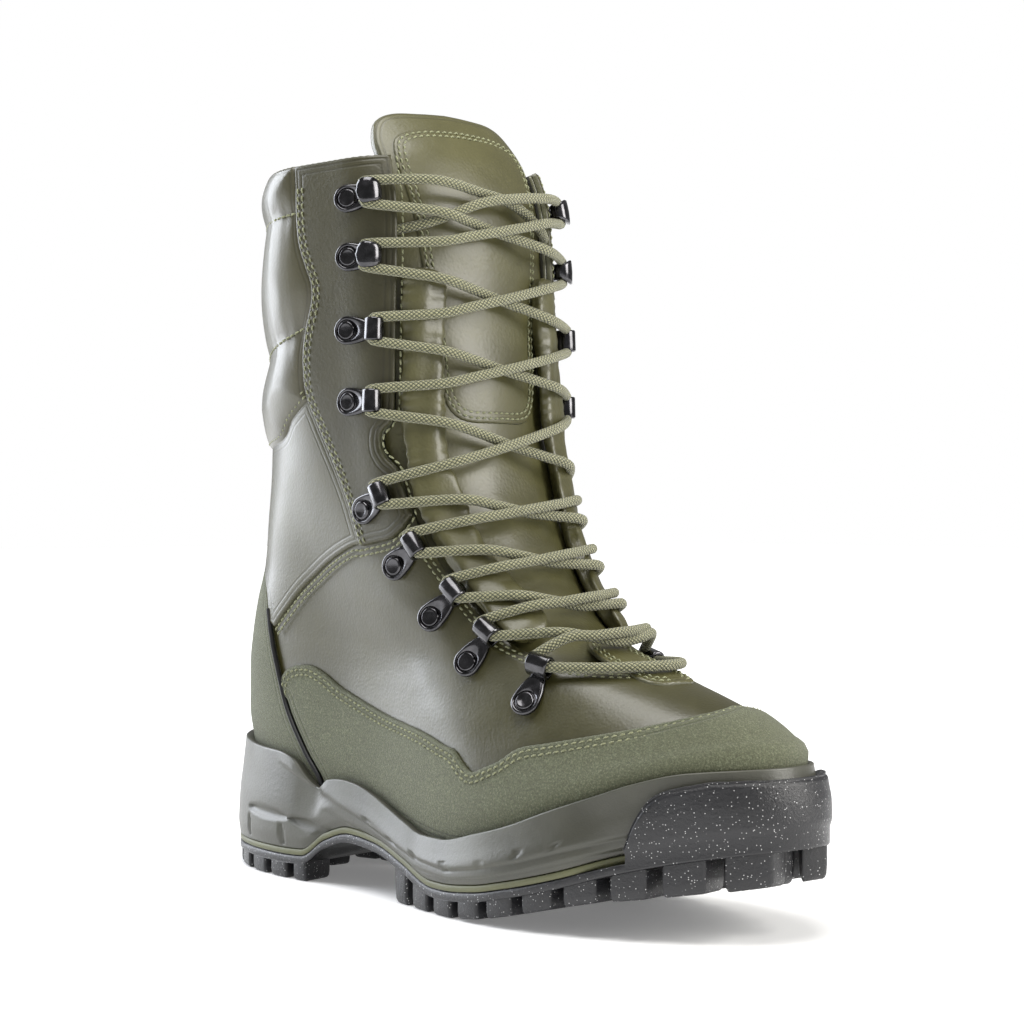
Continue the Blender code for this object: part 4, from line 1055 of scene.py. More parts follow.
def body_relief(column, level, point, away):
    total = ripple(point, 0.060, 0.00028, 3) + ripple(point, 0.024, 0.00006, 5)
    for start, end, width, depth in CREASES:
        for turn in (1.0, -1.0):
            flip = np.array([1.0, turn, 1.0])
            total += trough(point, start * flip, end * flip, width, depth)
    return total * ramp(away, 0.0, 0.004)


def stiff_relief(column, level, point, away):
    toe = bell(point[:, 2] - 0.068, 0.012) * ramp(point[:, 0], 0.215, 0.03)
    return (ripple(point, 0.05, 0.0002, 9) + 0.0016 * toe) * ramp(away, 0.0, 0.004)


def eyestay_relief(column, level, point, away):
    total = ripple(point, 0.04, 0.00022, 12) + ripple(point, 0.016, 0.00005, 13)
    return total * ramp(away, 0.0, 0.004)


# Channels of the pad: level at the back, rise for each column toward the front, strength.
PAD_CHANNELS = ((10.50, 0.052, 1.0), (11.78, 0.018, 0.9))


def pad_relief(column, level, point, away):
    """Swollen bands of padding with sewn channels between them."""
    lift = PAD_THICKNESS * np.sqrt(ramp(away, 0.0, 0.016)) * 0.92
    for at, rise, strength in PAD_CHANNELS:
        gap = np.abs(level - at - rise * np.abs(HEEL - column)) / 0.36
        lift = lift * (1.0 - 0.62 * strength * bell(gap, 1.0))
        lift = lift - 0.0006 * strength * np.exp(-(gap * 3.0) ** 2)
    pucker = np.sin(column * 7.0 + level * 2.0) * 0.00010
    near = sum(bell(level - at - rise * np.abs(HEEL - column), 0.3) for at, rise, _ in PAD_CHANNELS)
    return lift + pucker * np.clip(near, 0, 1) + ripple(point, 0.05, 0.0004, 21) * ramp(away, 0.0, 0.006)


TONGUE_CREASES = (
    ((100, -20, 232), (100, 22, 228), 5.0, 1.0), ((104, -24, 206), (104, 24, 202), 5.0, 1.0),
    ((110, -22, 172), (112, 24, 166), 5.0, 1.2), ((122, -20, 146), (122, 22, 140), 4.5, 1.1),
    ((96, -26, 262), (96, 8, 256), 6.0, 0.9), ((84, -26, 292), (92, 6, 276), 7.0, 0.9),
    ((88, 2, 300), (97, 22, 262), 7.0, 0.7),
)


def tongue_relief(column, level, point, away):
    total = ripple(point, 0.05, 0.0009, 31) + ripple(point, 0.02, 0.00025, 32)
    for start, end, width, depth in TONGUE_CREASES:
        total += trough(point, start, end, width, depth)
    return total * ramp(away, 0.0, 0.006)


# Sole

DENSE = 512
SIDE_BULGE = smooth_curve((0.0, 0.16, 0.42, 0.72, 1.0), (0.0, 0.36, 0.42, 0.20, 0.0))
BUMPER_TOP = ((0.850, 0.060), (0.853, 0.110), (0.862, 0.136), (0.870, 0.151), (0.881, 0.171), (0.897, 0.183),
              (0.942, 0.195), (1.1, 0.200))


def sole_ring(column, outset=0.0):
    """The sole's outline at columns, moved out by a width. Boot metres from the heel's back."""
    def ring(c):
        angle, side = turn_of(c)
        x = SOLE_LENGTH * (1.0 - np.cos(angle)) / 2.0
        sizes = (HEEL_WIDTH, WAIST_WIDTH, BALL_WIDTH, BALL_WIDTH)
        widths = [np.full(len(c), share * size) for share, size in zip(SOLE_HALF_WIDTHS, sizes)]
        return np.stack([x, centre(x) + side * half_width(angle, widths, 1.10, 1.0)], axis=1)

    flat = ring(column)
    ahead = ring(column + 0.15) - ring(column - 0.15)
    out = unit(np.stack([-ahead[:, 1], ahead[:, 0]], axis=1))
    if np.sum(out * (flat - flat.mean(axis=0))) < 0:
        out = -out
    return flat + out * np.broadcast_to(outset, len(flat))[:, None], flat[:, 0]


def toe_inset(x):
    share = ramp(x / SOLE_LENGTH, 0.78, 0.07)
    return (BUMPER_THICKNESS + GAP) * share * share * (3.0 - 2.0 * share)


def lifted_level(column, height, lift):
    """Levels at which the skin, moved out by a lift, reaches given heights."""
    levels = np.linspace(0.0, 6.0, 121)
    result = np.empty(len(column))
    for i, c in enumerate(column):
        z = skin(np.full(121, c), levels, np.full(121, lift))[:, 2]
        result[i] = np.interp(height[i], z, levels)
    return result


class SoleForm:
    """The midsole's side: its foot, its lip and the way out, at each column."""

    def __init__(self, column, outset):
        self.column = column
        _, x = sole_ring(column)
        foot, _ = sole_ring(column, outset - toe_inset(x))
        self.start = np.stack([foot[:, 0] - HEEL_SPOT, foot[:, 1], midsole_bottom(x)], axis=1)
        lift = 2 * GAP + RAND_THICKNESS + LIP_WIDTH + outset
        level = lifted_level(column, midsole_top(x), lift)
        self.lip = skin(column, level, np.full(len(column), lift))
        self.inner = skin(column, level, np.full(len(column), RAND_THICKNESS * 0.5))
        self.outward = skin_axes(column, np.ones(len(column)))[3].copy()
        self.outward[:, 2] = 0.0

    def row(self, up):
        up = np.broadcast_to(np.asarray(up, float), len(self.column))
        bulge = SIDE_BULGE(up)
        swell = self.outward * (bulge * LIP_WIDTH)[:, None]
        return self.start + (self.lip - self.start) * up[:, None] + swell


# Lugs at the edge: start, end, width taken in from the edge, forward lean.
EDGE_LUGS = (
    (0.020, 0.055, 0.13, 0.020), (0.070, 0.108, 0.17, 0.012), (0.124, 0.162, 0.17, 0.006),
    (0.178, 0.216, 0.17, -0.004), (0.232, 0.258, 0.15, -0.010),
    (0.462, 0.492, 0.15, 0.010), (0.508, 0.545, 0.18, 0.008), (0.560, 0.598, 0.20, 0.006),
    (0.613, 0.651, 0.20, 0.004), (0.667, 0.706, 0.20, 0.000), (0.722, 0.762, 0.20, -0.006),
    (0.778, 0.818, 0.19, -0.012), (0.834, 0.874, 0.18, -0.018), (0.890, 0.932, 0.16, -0.020),
    (0.948, 0.984, 0.10, -0.010),
)
CENTRE_LUGS = ((0.075, 0.175, 0.15), (0.500, 0.570, 0.22), (0.590, 0.660, 0.24), (0.680, 0.745, 0.24),
               (0.765, 0.825, 0.22), (0.845, 0.900, 0.18), (0.918, 0.965, 0.14))


def lug_parts(corners):
    """A lug with rounded corners and a bevelled foot, from its outline."""
    corners = np.asarray(corners, float)
    middle = corners.mean(axis=0)
    ring = []
    count = len(corners)
    for i in range(count):
        here, last, ahead = corners[i], corners[i - 1], corners[(i + 1) % count]
        for share in (0.0, 0.5, 1.0):
            first, second = here + unit(last - here) * LUG_ROUND, here + unit(ahead - here) * LUG_ROUND
            ring.append((1 - share) ** 2 * first + 2 * share * (1 - share) * here + share ** 2 * second)
    ring = np.array(ring)

    def shrunk(width):
        return ring + unit(middle - ring) * width

    rows = []
    for inset, up in ((0.0, 1.0), (0.0, 0.35), (0.0003, 0.12), (0.0010, 0.03), (0.0018, 0.0)):
        flat = shrunk(inset)
        low, high = tread(flat[:, 0]), plate_bottom(flat[:, 0]) + 0.0011
        rows.append(np.stack([flat[:, 0] - HEEL_SPOT, flat[:, 1], low + (high - low) * up], axis=1))
    return np.vstack(rows), grid_faces(len(rows), len(ring), True, 1), {}


def flipped(part):
    points, faces, values = part
    return points, [f[::-1] for f in faces], values


def facing_out(part, middle):
    """The part with its faces turned away from a point."""
    points, faces, values = part
    points = np.asarray(points).reshape(-1, 3)
    total = 0.0
    for f in faces[:: max(len(faces) // 400, 1)]:
        a, b, c = points[f[0]], points[f[1]], points[f[2]]
        total += np.dot(np.cross(b - a, c - a), (a + b + c) / 3.0 - middle)
    return part if total > 0 else flipped(part)


# Eyelets

def throat_half(height):
    """Half of the throat's width at a height."""
    return float(np.interp(height, [z * COLLAR_HEIGHT for _, z in THROAT_EDGE],
                           [share * SHAFT_WIDTH for share, _ in THROAT_EDGE]))


def front_spot(across, height, lift=0.0):
    """Points over the skin near the front, at given places across and heights."""
    across, height = np.atleast_1d(across).astype(float), np.atleast_1d(height).astype(float)
    target = np.stack([across, height], axis=1)
    found = np.empty((len(across), 2))
    for side in (-1.0, 1.0):
        chosen = (across * side > 0) | ((side < 0) & (across == 0))
        if chosen.any():
            columns = np.linspace(0.0, 12.0, 61) * -side
            found[chosen] = invert(target[chosen], [1, 2], columns, FRONT_LEAN)
    return skin(found[:, 0], found[:, 1], np.broadcast_to(lift, len(across)))


def near_front(target, side, lift):
    """The point over the skin that lies nearest to a target."""
    columns = np.linspace(0.0, 18.0, 55) * -side
    levels = np.linspace(4.0, 13.0, 73)
    for _ in range(4):
        c, v = np.meshgrid(columns, levels, indexing="ij")
        points = skin(c.ravel(), v.ravel())
        best = int(np.argmin(np.linalg.norm(points - target, axis=1)))
        c0, v0 = c.ravel()[best], v.ravel()[best]
        dc, dv = columns[1] - columns[0], levels[1] - levels[0]
        columns, levels = c0 + np.linspace(-dc, dc, 11), v0 + np.linspace(-dv, dv, 11)
    return skin(np.array([c0]), np.array([v0]), np.array([lift]))[0]


@functools.lru_cache(maxsize=None)
def row_frame(side, row):
    """Axes of an eyelet: its place, away from the throat, out of the skin, and along the edge."""
    _, share, setback = row
    height = share * COLLAR_HEIGHT
    setback = setback * EYELET_REACH
    lift = GAP + EYESTAY_THICKNESS if share > EYESTAY_FOOT else BARE_SEAT
    step = EYELET_RISE / 2.0
    heights = np.array([height, height + step, height - step])
    edge, above, below = front_spot([side * throat_half(h) for h in heights], heights)
    along = unit(above - below)
    raised = front_spot(side * throat_half(height), height, step)[0]
    away = unit(np.cross(unit(raised - edge), along))
    if away[1] * side < 0:
        away = -away
    place = near_front(edge + away * setback, side, lift)
    end = near_front(edge + away * (setback + EYELET_REACH), side, lift)
    away = unit(end - place)
    outward = unit(np.cross(away, along))
    if np.dot(outward, raised - edge) < 0:
        outward = -outward
    along = np.cross(outward, away)
    rise = 0.0
    for share in (0.0, 0.5, 1.0, 1.3):
        for turn in (-1.0, 1.0):
            spot = place + away * EYELET_REACH * share + along * RIVET_RADIUS * turn
            rise = max(rise, np.dot(near_front(spot, side, lift) - place, outward))
    if along[2] < 0:
        along = -along
    return place + outward * (rise + GAP * 0.3), away, outward, along


def disc_parts(rows, sides, shape):
    """A turned form from rows of (radius, height), each ring shaped by a function."""
    turn = 2.0 * np.pi * np.arange(sides) / sides
    rings = []
    for radius, height in rows:
        ring = np.stack([np.cos(turn) * radius, np.full(sides, height), np.sin(turn) * radius], axis=1)
        rings.append(shape(ring))
    return np.vstack(rings), grid_faces(len(rows), sides, True, 1), {}


def smooth_ring(corners, count, closed=True):
    """A smooth line through corners, evenly divided."""
    corners = np.asarray(corners, float)
    if closed:
        stretched = np.vstack([corners[-2:], corners, corners[:3]])
        line = rounded_line(stretched, 12)[24:24 + 12 * len(corners) + 1]
    else:
        line = rounded_line(corners, 12)
    length = run_length(line)
    places = np.linspace(0.0, length[-1], count + 1)[:-1] if closed else np.linspace(0.0, length[-1], count)
    return along_line(line, length, places)


BAND_OUTER = ((0.30, 0.10), (0.33, 0.42), (0.25, 0.80), (0.10, 1.00), (-0.08, 1.00), (-0.20, 0.80), (-0.23, 0.45),
              (-0.12, 0.10), (0.09, 0.0))
BAND_INNER = ((0.20, 0.22), (0.23, 0.44), (0.17, 0.72), (0.07, 0.86), (-0.05, 0.86), (-0.12, 0.72), (-0.14, 0.46),
              (-0.07, 0.22), (0.07, 0.15))
BAND_HALF_WIDTH = 0.0045
# Section of the band: share of its thickness, share of its half width.
BAND_SECTION = ((1.0, -0.86), (0.82, -0.97), (0.5, -1.0), (0.18, -0.97), (0.0, -0.86),
                (0.0, 0.86), (0.18, 0.97), (0.5, 1.0), (0.82, 0.97), (1.0, 0.86))


def band_parts():
    """The loop of a lace eyelet: a bent band with rounded edges."""
    outer = smooth_ring(BAND_OUTER, 40) * [EYELET_REACH, EYELET_RISE]
    inner = smooth_ring(BAND_INNER, 40) * [EYELET_REACH, EYELET_RISE]
    rings = []
    for share, across in BAND_SECTION:
        flat = inner + (outer - inner) * share
        rings.append(np.stack([flat[:, 0], flat[:, 1], np.full(len(flat), across * BAND_HALF_WIDTH)], axis=1))
    rings.append(rings[0])
    return np.vstack(rings), grid_faces(len(rings), len(outer), True), {}


HOOK_LINE = ((0.78, 0.10), (0.40, 0.10), (0.14, 0.12), (0.03, 0.34), (0.05, 0.66), (0.20, 0.92), (0.40, 0.98),
             (0.60, 0.90))
HOOK_HALF = (0.0034, 0.0034, 0.0032, 0.0031, 0.0036, 0.0046, 0.0050, 0.0040)


def hook_parts():
    """A speed hook: a strip bent back over itself and widened to a rounded head."""
    line = smooth_ring(HOOK_LINE, 44, False) * [EYELET_REACH, EYELET_RISE]
    half = np.interp(np.linspace(0, 1, 44), np.linspace(0, 1, len(HOOK_HALF)), HOOK_HALF)
    end = np.clip((1.0 - np.linspace(0, 1, 44)) / 0.09, 0.0, 1.0)
    half = half * np.sqrt(1.0 - (1.0 - end) ** 2) + 0.0002
    ahead = unit(np.gradient(line, axis=0))
    out = np.stack([-ahead[:, 1], ahead[:, 0]], axis=1)
    thick = 0.00055
    section = [(1.0, 0.0), (0.93, 0.7), (0.6, 1.0), (0.0, 1.25), (-0.6, 1.0), (-0.93, 0.7), (-1.0, 0.0),
               (-0.93, -0.7), (-0.5, -0.9), (0.0, -1.0), (0.5, -0.9), (0.93, -0.7)]
    rings = [[(*(middle + normal * (n * thick)), w * width) for w, n in section]
             for middle, normal, width in zip(line, out, half)]
    points = np.array(rings).reshape(-1, 3)
    faces = grid_faces(len(line), len(section), True)
    faces.append(tuple(range(len(section))))
    faces.append(tuple(range(len(points) - len(section), len(points))))
    return points, faces, {}


def base_oval(ring):
    """Stretches a round base to an oval that narrows toward the throat."""
    moved = ring.copy()
    front = ring[:, 0] < 0
    moved[front, 0] = ring[front, 0] * BASE_STRETCH
    moved[:, 2] = ring[:, 2] * (1.0 - 0.10 * ramp(-ring[:, 0], 0.0, 0.0050))
    moved[:, 0] += EYELET_REACH
    return moved


BASE_STRETCH = 2.25
# Rows of the base with its rivet: radius, height.
BASE_ROWS = ((0.0056, 0.0), (0.0056, 0.0007), (0.0053, 0.0013), (0.0048, 0.0015), (0.0043, 0.0014),
             (0.0041, 0.0009), (0.0039, 0.0007), (0.0037, 0.0007), (0.0036, 0.0010), (0.0034, 0.0016),
             (0.0030, 0.0018), (0.0024, 0.00165), (0.0014, 0.0015), (0.0003, 0.00148))


def eyelet_parts(kind):
    """Base, rivet and loop or hook, in the eyelet's own axes."""
    def shape(ring):
        radius = float(np.max(np.abs(ring[:, 2])))
        return base_oval(ring) if radius > RIVET_RADIUS else ring + [EYELET_REACH, 0.0, 0.0]

    return [disc_parts(BASE_ROWS, 32, shape), hook_parts() if kind == "hook" else band_parts()]


# Lace

ROWS = HOOK_ROWS + LOOP_ROWS
LACE_SEAT = 0.0026
LACE_LIFT = GUSSET_HEIGHT - WALL + LACE_SEAT + LACE_RADIUS
LACE_SAG = 0.0030


def tunnel(side, row):
    """The middle of an eyelet's way through, the way from the throat and the way along its edge."""
    place, away, outward, along = row_frame(side, row)
    u, n = (0.42, 0.50) if row in HOOK_ROWS else (0.04, 0.50)
    return place + away * u * EYELET_REACH + outward * n * EYELET_RISE, away, along


LINES = Outlines()


def lace_route():
    """Points of the one cord, from one tucked end round the low bar to the other."""
    tunnels = {(side, i): tunnel(side, row) for i, row in enumerate(ROWS) for side in (-1, 1)}
    last = len(ROWS) - 1

    def through(side, i, upward):
        """Points of the turn inside an eyelet, below it, in it and above it."""
        place, away, along = tunnels[(side, i)]
        out = [place - away * 0.0014 - along * 0.0046, place - along * 0.0026, place, place + along * 0.0026,
               place - away * 0.0014 + along * 0.0046]
        return out if upward else out[::-1]

    def crossing(side, low_row, over):
        """The way from the near eyelet of a row to the far one of the row above."""
        low, high = ROWS[low_row][1] * COLLAR_HEIGHT + 0.0030, ROWS[low_row - 1][1] * COLLAR_HEIGHT - 0.0052
        shares = np.array([0.16, 0.32, 0.5, 0.68, 0.84])
        sag = np.array([0.25, 0.7, 1.0, 0.7, 0.25])
        rise = np.array([0.0, 0.5, 1.0, 0.5, 0.0]) * (0.0022 if over else -0.0018)
        heights = low + (high - low) * shares
        across = np.array([side * throat_half(h) * (1.0 - 2.0 * s) for h, s in zip(heights, shares)])
        return list(front_spot(across, heights, LACE_LIFT - LACE_SAG * sag + rise))

    def climb(side):
        """From the low row up to the top row, first from the given side."""
        points = through(side, last, True)[1:]
        for i in range(last, 0, -1):
            points += crossing(side, i, over=side < 0)
            side = -side
            points += through(side, i - 1, True)
        return points, side

    near, near_end = climb(-1)
    far, far_end = climb(1)
    shares = np.array([-0.74, -0.4, 0.0, 0.4, 0.74])
    low = ROWS[-1][1] * COLLAR_HEIGHT - 0.0032
    bar = front_spot(shares * throat_half(low + 0.004), np.full(5, low), 0.0037)
    tails = []
    top = ROWS[0][1] * COLLAR_HEIGHT
    for side in (near_end, far_end):
        shares = np.array([0.15, 0.40, 0.62, 0.86, 1.06])
        heights = top + np.array([0.003, 0.001, -0.002, -0.009, -0.013]) - (0.002 if side == far_end else 0.0)
        across = side * throat_half(top) * (1.0 - 2.0 * shares)
        lift = np.array([LACE_LIFT, LACE_LIFT - 0.0028, LACE_LIFT - 0.0034, 0.0028, -0.0004])
        lift = lift + (0.0024 if side == far_end else -0.0008) * np.array([0, 1, 1, 0.3, 0])
        tails.append(list(front_spot(across, heights, lift)))
    return np.array(tails[0][::-1] + near[::-1] + list(bar) + far + tails[1])


# Settings

def colour_setting(name, text, value):
    return bpy.props.FloatVectorProperty(name=name, description=text, default=value, subtype="COLOR", size=3,
                                         min=0.0, max=1.0)


def length_setting(name, text, value):
    return bpy.props.FloatProperty(name=name, description=text, default=value, min=0.0, unit="LENGTH",
                                   subtype="DISTANCE")


class BootLeather(bpy.types.PropertyGroup):
    """Colours of the leather and its sewing."""
    vamp: colour_setting("Vamp", "Colour of the vamp and the quarters", (0.039, 0.036, 0.009))
    eyestay: colour_setting("Eyestay", "Colour of the panels that hold the eyelets", (0.034, 0.031, 0.010))
    tongue: colour_setting("Tongue", "Colour of the tongue and the gussets", (0.064, 0.060, 0.019))
    pad: colour_setting("Collar pad", "Colour of the quilted collar", (0.056, 0.052, 0.026))
    rough: colour_setting("Rough panels", "Colour of the rough rand and counter", (0.102, 0.110, 0.062))
    rough_light: colour_setting("Rough highlights", "Light crumbs of the rough panels", (0.36, 0.39, 0.27))
    raw_edge: colour_setting("Cut edge", "Colour of the cut edges", (0.085, 0.085, 0.045))
    lining: colour_setting("Lining", "Colour of the lining", (0.050, 0.050, 0.038))
    piping: colour_setting("Piping", "Colour of the piping", (0.012, 0.012, 0.013))
    thread: colour_setting("Thread", "Colour of the thread", (0.27, 0.28, 0.16))
    first_row: length_setting("First row", "Distance of the first stitches from an edge", 0.0019)
    second_row: length_setting("Second row", "Distance of the second stitches from an edge", 0.0041)
    stitch_length: length_setting("Stitch", "Length of a stitch", 0.0023)
    stitch_gap: length_setting("Stitch gap", "Gap between stitches", 0.0008)
    thread_radius: length_setting("Thread radius", "Half thickness of the thread", 0.00036)
    stitch_slant: length_setting("Stitch slant", "Sideways lean of a stitch", 0.00025)


class BootSole(bpy.types.PropertyGroup):
    """Colours of the sole."""
    midsole: colour_setting("Midsole", "Colour of the midsole", (0.060, 0.060, 0.046))
    strip: colour_setting("Strip", "Colour of the strip under the midsole", (0.105, 0.108, 0.050))
    rubber: colour_setting("Rubber", "Colour of the outsole", (0.012, 0.012, 0.014))
    rubber_speck: colour_setting("Rubber specks", "Colour of the specks in the outsole", (0.75, 0.75, 0.75))


class BootLacing(bpy.types.PropertyGroup):
    """Cord and metal."""
    cord_colour: colour_setting("Cord", "Light strands of the cord", (0.31, 0.30, 0.175))
    cord_dark: colour_setting("Dark strands", "Dark strands of the cord", (0.035, 0.045, 0.028))
    metal_colour: colour_setting("Metal", "Colour of the eyelets", (0.055, 0.054, 0.058))
    cord_radius: length_setting("Cord radius", "Half thickness of the cord", LACE_RADIUS)


class BootStage(bpy.types.PropertyGroup):
    """Camera, lights and floor."""
    lens: bpy.props.FloatProperty(name="Lens", description="Focal length in mm", default=83.7, min=10.0)
    key_power: bpy.props.FloatProperty(name="Key light", description="Power of the large light", default=28.0,
                                       min=0.0, subtype="POWER", unit="POWER")
    top_power: bpy.props.FloatProperty(name="Top light", description="Power of the light above", default=17.0,
                                       min=0.0, subtype="POWER", unit="POWER")
    fill_power: bpy.props.FloatProperty(name="Fill light", description="Power of the front light", default=21.0,
                                        min=0.0, subtype="POWER", unit="POWER")
    world_light: bpy.props.FloatProperty(name="Room light", description="Strength of the room's light",
                                         default=0.25, min=0.0)
    floor: colour_setting("Floor", "Colour of the floor", (0.90, 0.90, 0.90))
    floor_glow: bpy.props.FloatProperty(name="Floor glow", description="How much the floor glows", default=0.18,
                                        min=0.0)


GROUPS = (("boot_leather", BootLeather), ("boot_sole", BootSole), ("boot_lacing", BootLacing),
          ("boot_stage", BootStage))


# Operators

class BOOT_OT_stage(bpy.types.Operator):
    """Set the camera, the lights, the room and the floor"""
    bl_idname = "boot.stage"
    bl_label = "Stage"

    def execute(self, context):
        settings = context.scene.boot_stage
        lens = bpy.data.cameras.new("camera")
        lens.lens = settings.lens
        lens.sensor_width = 36.0
        lens.shift_y = -0.0088
        lens.clip_end = 50.0
        camera = link_object("camera", lens)
        camera.location = (0.8083, -0.6311, 0.1536)
        ahead = Vector((-0.7359, 0.6771, 0.0))
        camera.rotation_euler = ahead.to_track_quat("-Z", "Y").to_euler()
        context.scene.camera = camera

        for name, place, target, size, power, tint in (
                ("key_light", (-1.24, -0.46, 0.62), (0.04, 0.0, 0.14), (1.0, 1.2), settings.key_power,
                 (0.89, 0.93, 1.0)),
                ("fill_light", (1.25, 0.55, 0.75), (0.10, 0.0, 0.14), (0.7, 0.9), settings.fill_power,
                 (1.0, 0.98, 0.94)),
                ("top_light", (0.25, -0.25, 1.30), (0.08, 0.0, 0.10), (0.9, 0.9), settings.top_power,
                 (1.0, 0.99, 0.97))):
            light = bpy.data.lights.new(name, "AREA")
            light.shape = "RECTANGLE"
            light.size, light.size_y = size
            light.energy = power
            light.color = tint
            lamp = link_object(name, light)
            lamp.location = place
            lamp.rotation_euler = (Vector(target) - Vector(place)).to_track_quat("-Z", "Y").to_euler()

        world = bpy.data.worlds.new("room")
        world.use_nodes = True
        shade = Shade(world.node_tree)
        room = world.node_tree.nodes["Background"]
        shade.feed(room, {"Color": WHITE, "Strength": settings.world_light})
        backdrop = shade.add("Background", {"Color": WHITE})
        seen = shade.add("LightPath").outputs["Is Camera Ray"]
        mixed = shade.add("MixShader", {0: seen, 1: room.outputs[0], 2: backdrop.outputs[0]})
        shade.feed(world.node_tree.nodes["World Output"], {"Surface": mixed.outputs[0]})
        context.scene.world = world
        context.scene.view_settings.view_transform = "Standard"

        size = 6.0
        mesh = mesh_of("floor", [(-size, -size, 0), (size, -size, 0), (size, size, 0), (-size, size, 0)],
                       [(0, 1, 2, 3)])
        floor = link_object("floor", mesh)
        material = bpy.data.materials.new("floor")
        material.use_nodes = True
        shader = material.node_tree.nodes["Principled BSDF"]
        shade = Shade(material.node_tree)
        # Painted light: the floor glows, at floor_glow near its middle under the boot and rising to full white 1.5 m
        # out, so it fades into the white backdrop.
        place = shade.add("TexCoord").outputs["Object"]
        reach = shade.add("VectorMath", {0: place}, operation="LENGTH").outputs["Value"]
        shade.feed(shader, {"Base Color": colour(settings.floor), "Roughness": 0.6, "Specular IOR Level": 0.1,
                            "Emission Color": WHITE,
                            "Emission Strength": shade.range(reach, 0.35, 1.5, settings.floor_glow, 1.0)})
        mesh.materials.append(material)
        return {"FINISHED"}


class BOOT_OT_materials(bpy.types.Operator):
    """Make the boot's materials"""
    bl_idname = "boot.materials"
    bl_label = "Materials"

    def execute(self, context):
        leather, sole = context.scene.boot_leather, context.scene.boot_sole
        make_grain_group()
        make_seam_group()
        make_speckle_group()
        make_rough_group()
        make_braid_group()
        second = leather.second_row * 1000.0
        leather_material("vamp_leather", leather.vamp, 950.0, 150.0, 0.40, 0.26, second)
        leather_material("eyestay_leather", leather.eyestay, 860.0, 190.0, 0.46, 0.3, second, coat=0.15)
        leather_material("tongue_leather", leather.tongue, 820.0, 130.0, 0.44, 0.4, second)
        leather_material("pad_leather", leather.pad, 900.0, 170.0, 0.42, 0.25, -50.0)
        leather_material("roll_leather", leather.tongue, 820.0, 150.0, 0.46, 0.45, seams=False)
        rough_material("rough_panel", leather.rough)
        plain_material("lining_cloth", leather.lining, 0.8, 1100.0, 0.5, 0.0005)
        plain_material("black_piping", leather.piping, 0.35, 900.0, 0.2, 0.0002)
        plain_material("midsole_foam", sole.midsole, 0.40, 620.0, 0.30, 0.0005, 0.14, 0.45, 0.12)
        plain_material("strip_foam", sole.strip, 0.5, 620.0, 0.30, 0.0005, 0.10)
        plain_material("outsole_rubber", sole.rubber, 0.34, 900.0, 0.5, 0.0006, 0.2, 0.5, 0.0,
                       (0.34, sole.rubber_speck))
        cord_material()
        thread_material()
        metal_material()
        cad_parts["insole"].data.materials.clear()
        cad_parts["insole"].data.materials.append(bpy.data.materials["lining_cloth"])
        return {"FINISHED"}


class BOOT_OT_upper(bpy.types.Operator):
    """Lay the vamp and its lining"""
    bl_idname = "boot.upper"
    bl_label = "Vamp and lining"

    def execute(self, context):
        mesh = panel_mesh("vamp", LINES.vamp, 0.0, 0.0, relief=body_relief, skirt=WALL * 0.5)
        add_piece(mesh, "vamp_leather", "leather", "upper")
        mesh = panel_mesh("lining", LINES.vamp, -WALL, 0.0, 0.004, 0.0022, skirt=WALL * 0.6, inward=True)
        add_piece(mesh, "lining_cloth", "lining")
        return {"FINISHED"}


class BOOT_OT_panels(bpy.types.Operator):
    """Lay the rand, the counter, the quarters and the eyestays"""
    bl_idname = "boot.panels"
    bl_label = "Panels"

    def execute(self, context):
        for node, ring in (("toe_rand", LINES.rand), ("heel_counter", LINES.counter)):
            mesh = panel_mesh(node + "_skin", ring, GAP, RAND_THICKNESS, relief=stiff_relief)
            add_piece(mesh, "rough_panel", "suede", node)
        for side, hand in SIDES:
            mesh = panel_mesh("quarter_skin_" + hand, mirror(LINES.quarter, side), GAP, QUARTER_THICKNESS,
                              relief=body_relief)
            add_piece(mesh, "vamp_leather", "leather", "quarter_" + hand)
            mesh = panel_mesh("eyestay_skin_" + hand, mirror(LINES.eyestay, side), GAP + EYESTAY_FOLD,
                              EYESTAY_THICKNESS - EYESTAY_FOLD, relief=eyestay_relief)
            add_piece(mesh, "eyestay_leather", "leather", "eyestay_" + hand)
        return {"FINISHED"}


class BOOT_OT_collar(bpy.types.Operator):
    """Quilt the collar pad"""
    bl_idname = "boot.collar"
    bl_label = "Collar pad"

    def execute(self, context):
        mesh = panel_mesh("collar_pad_quilt", LINES.pad, GAP, 0.0008, 0.0018, relief=pad_relief)
        add_piece(mesh, "pad_leather", "padding", "collar_pad")
        return {"FINISHED"}


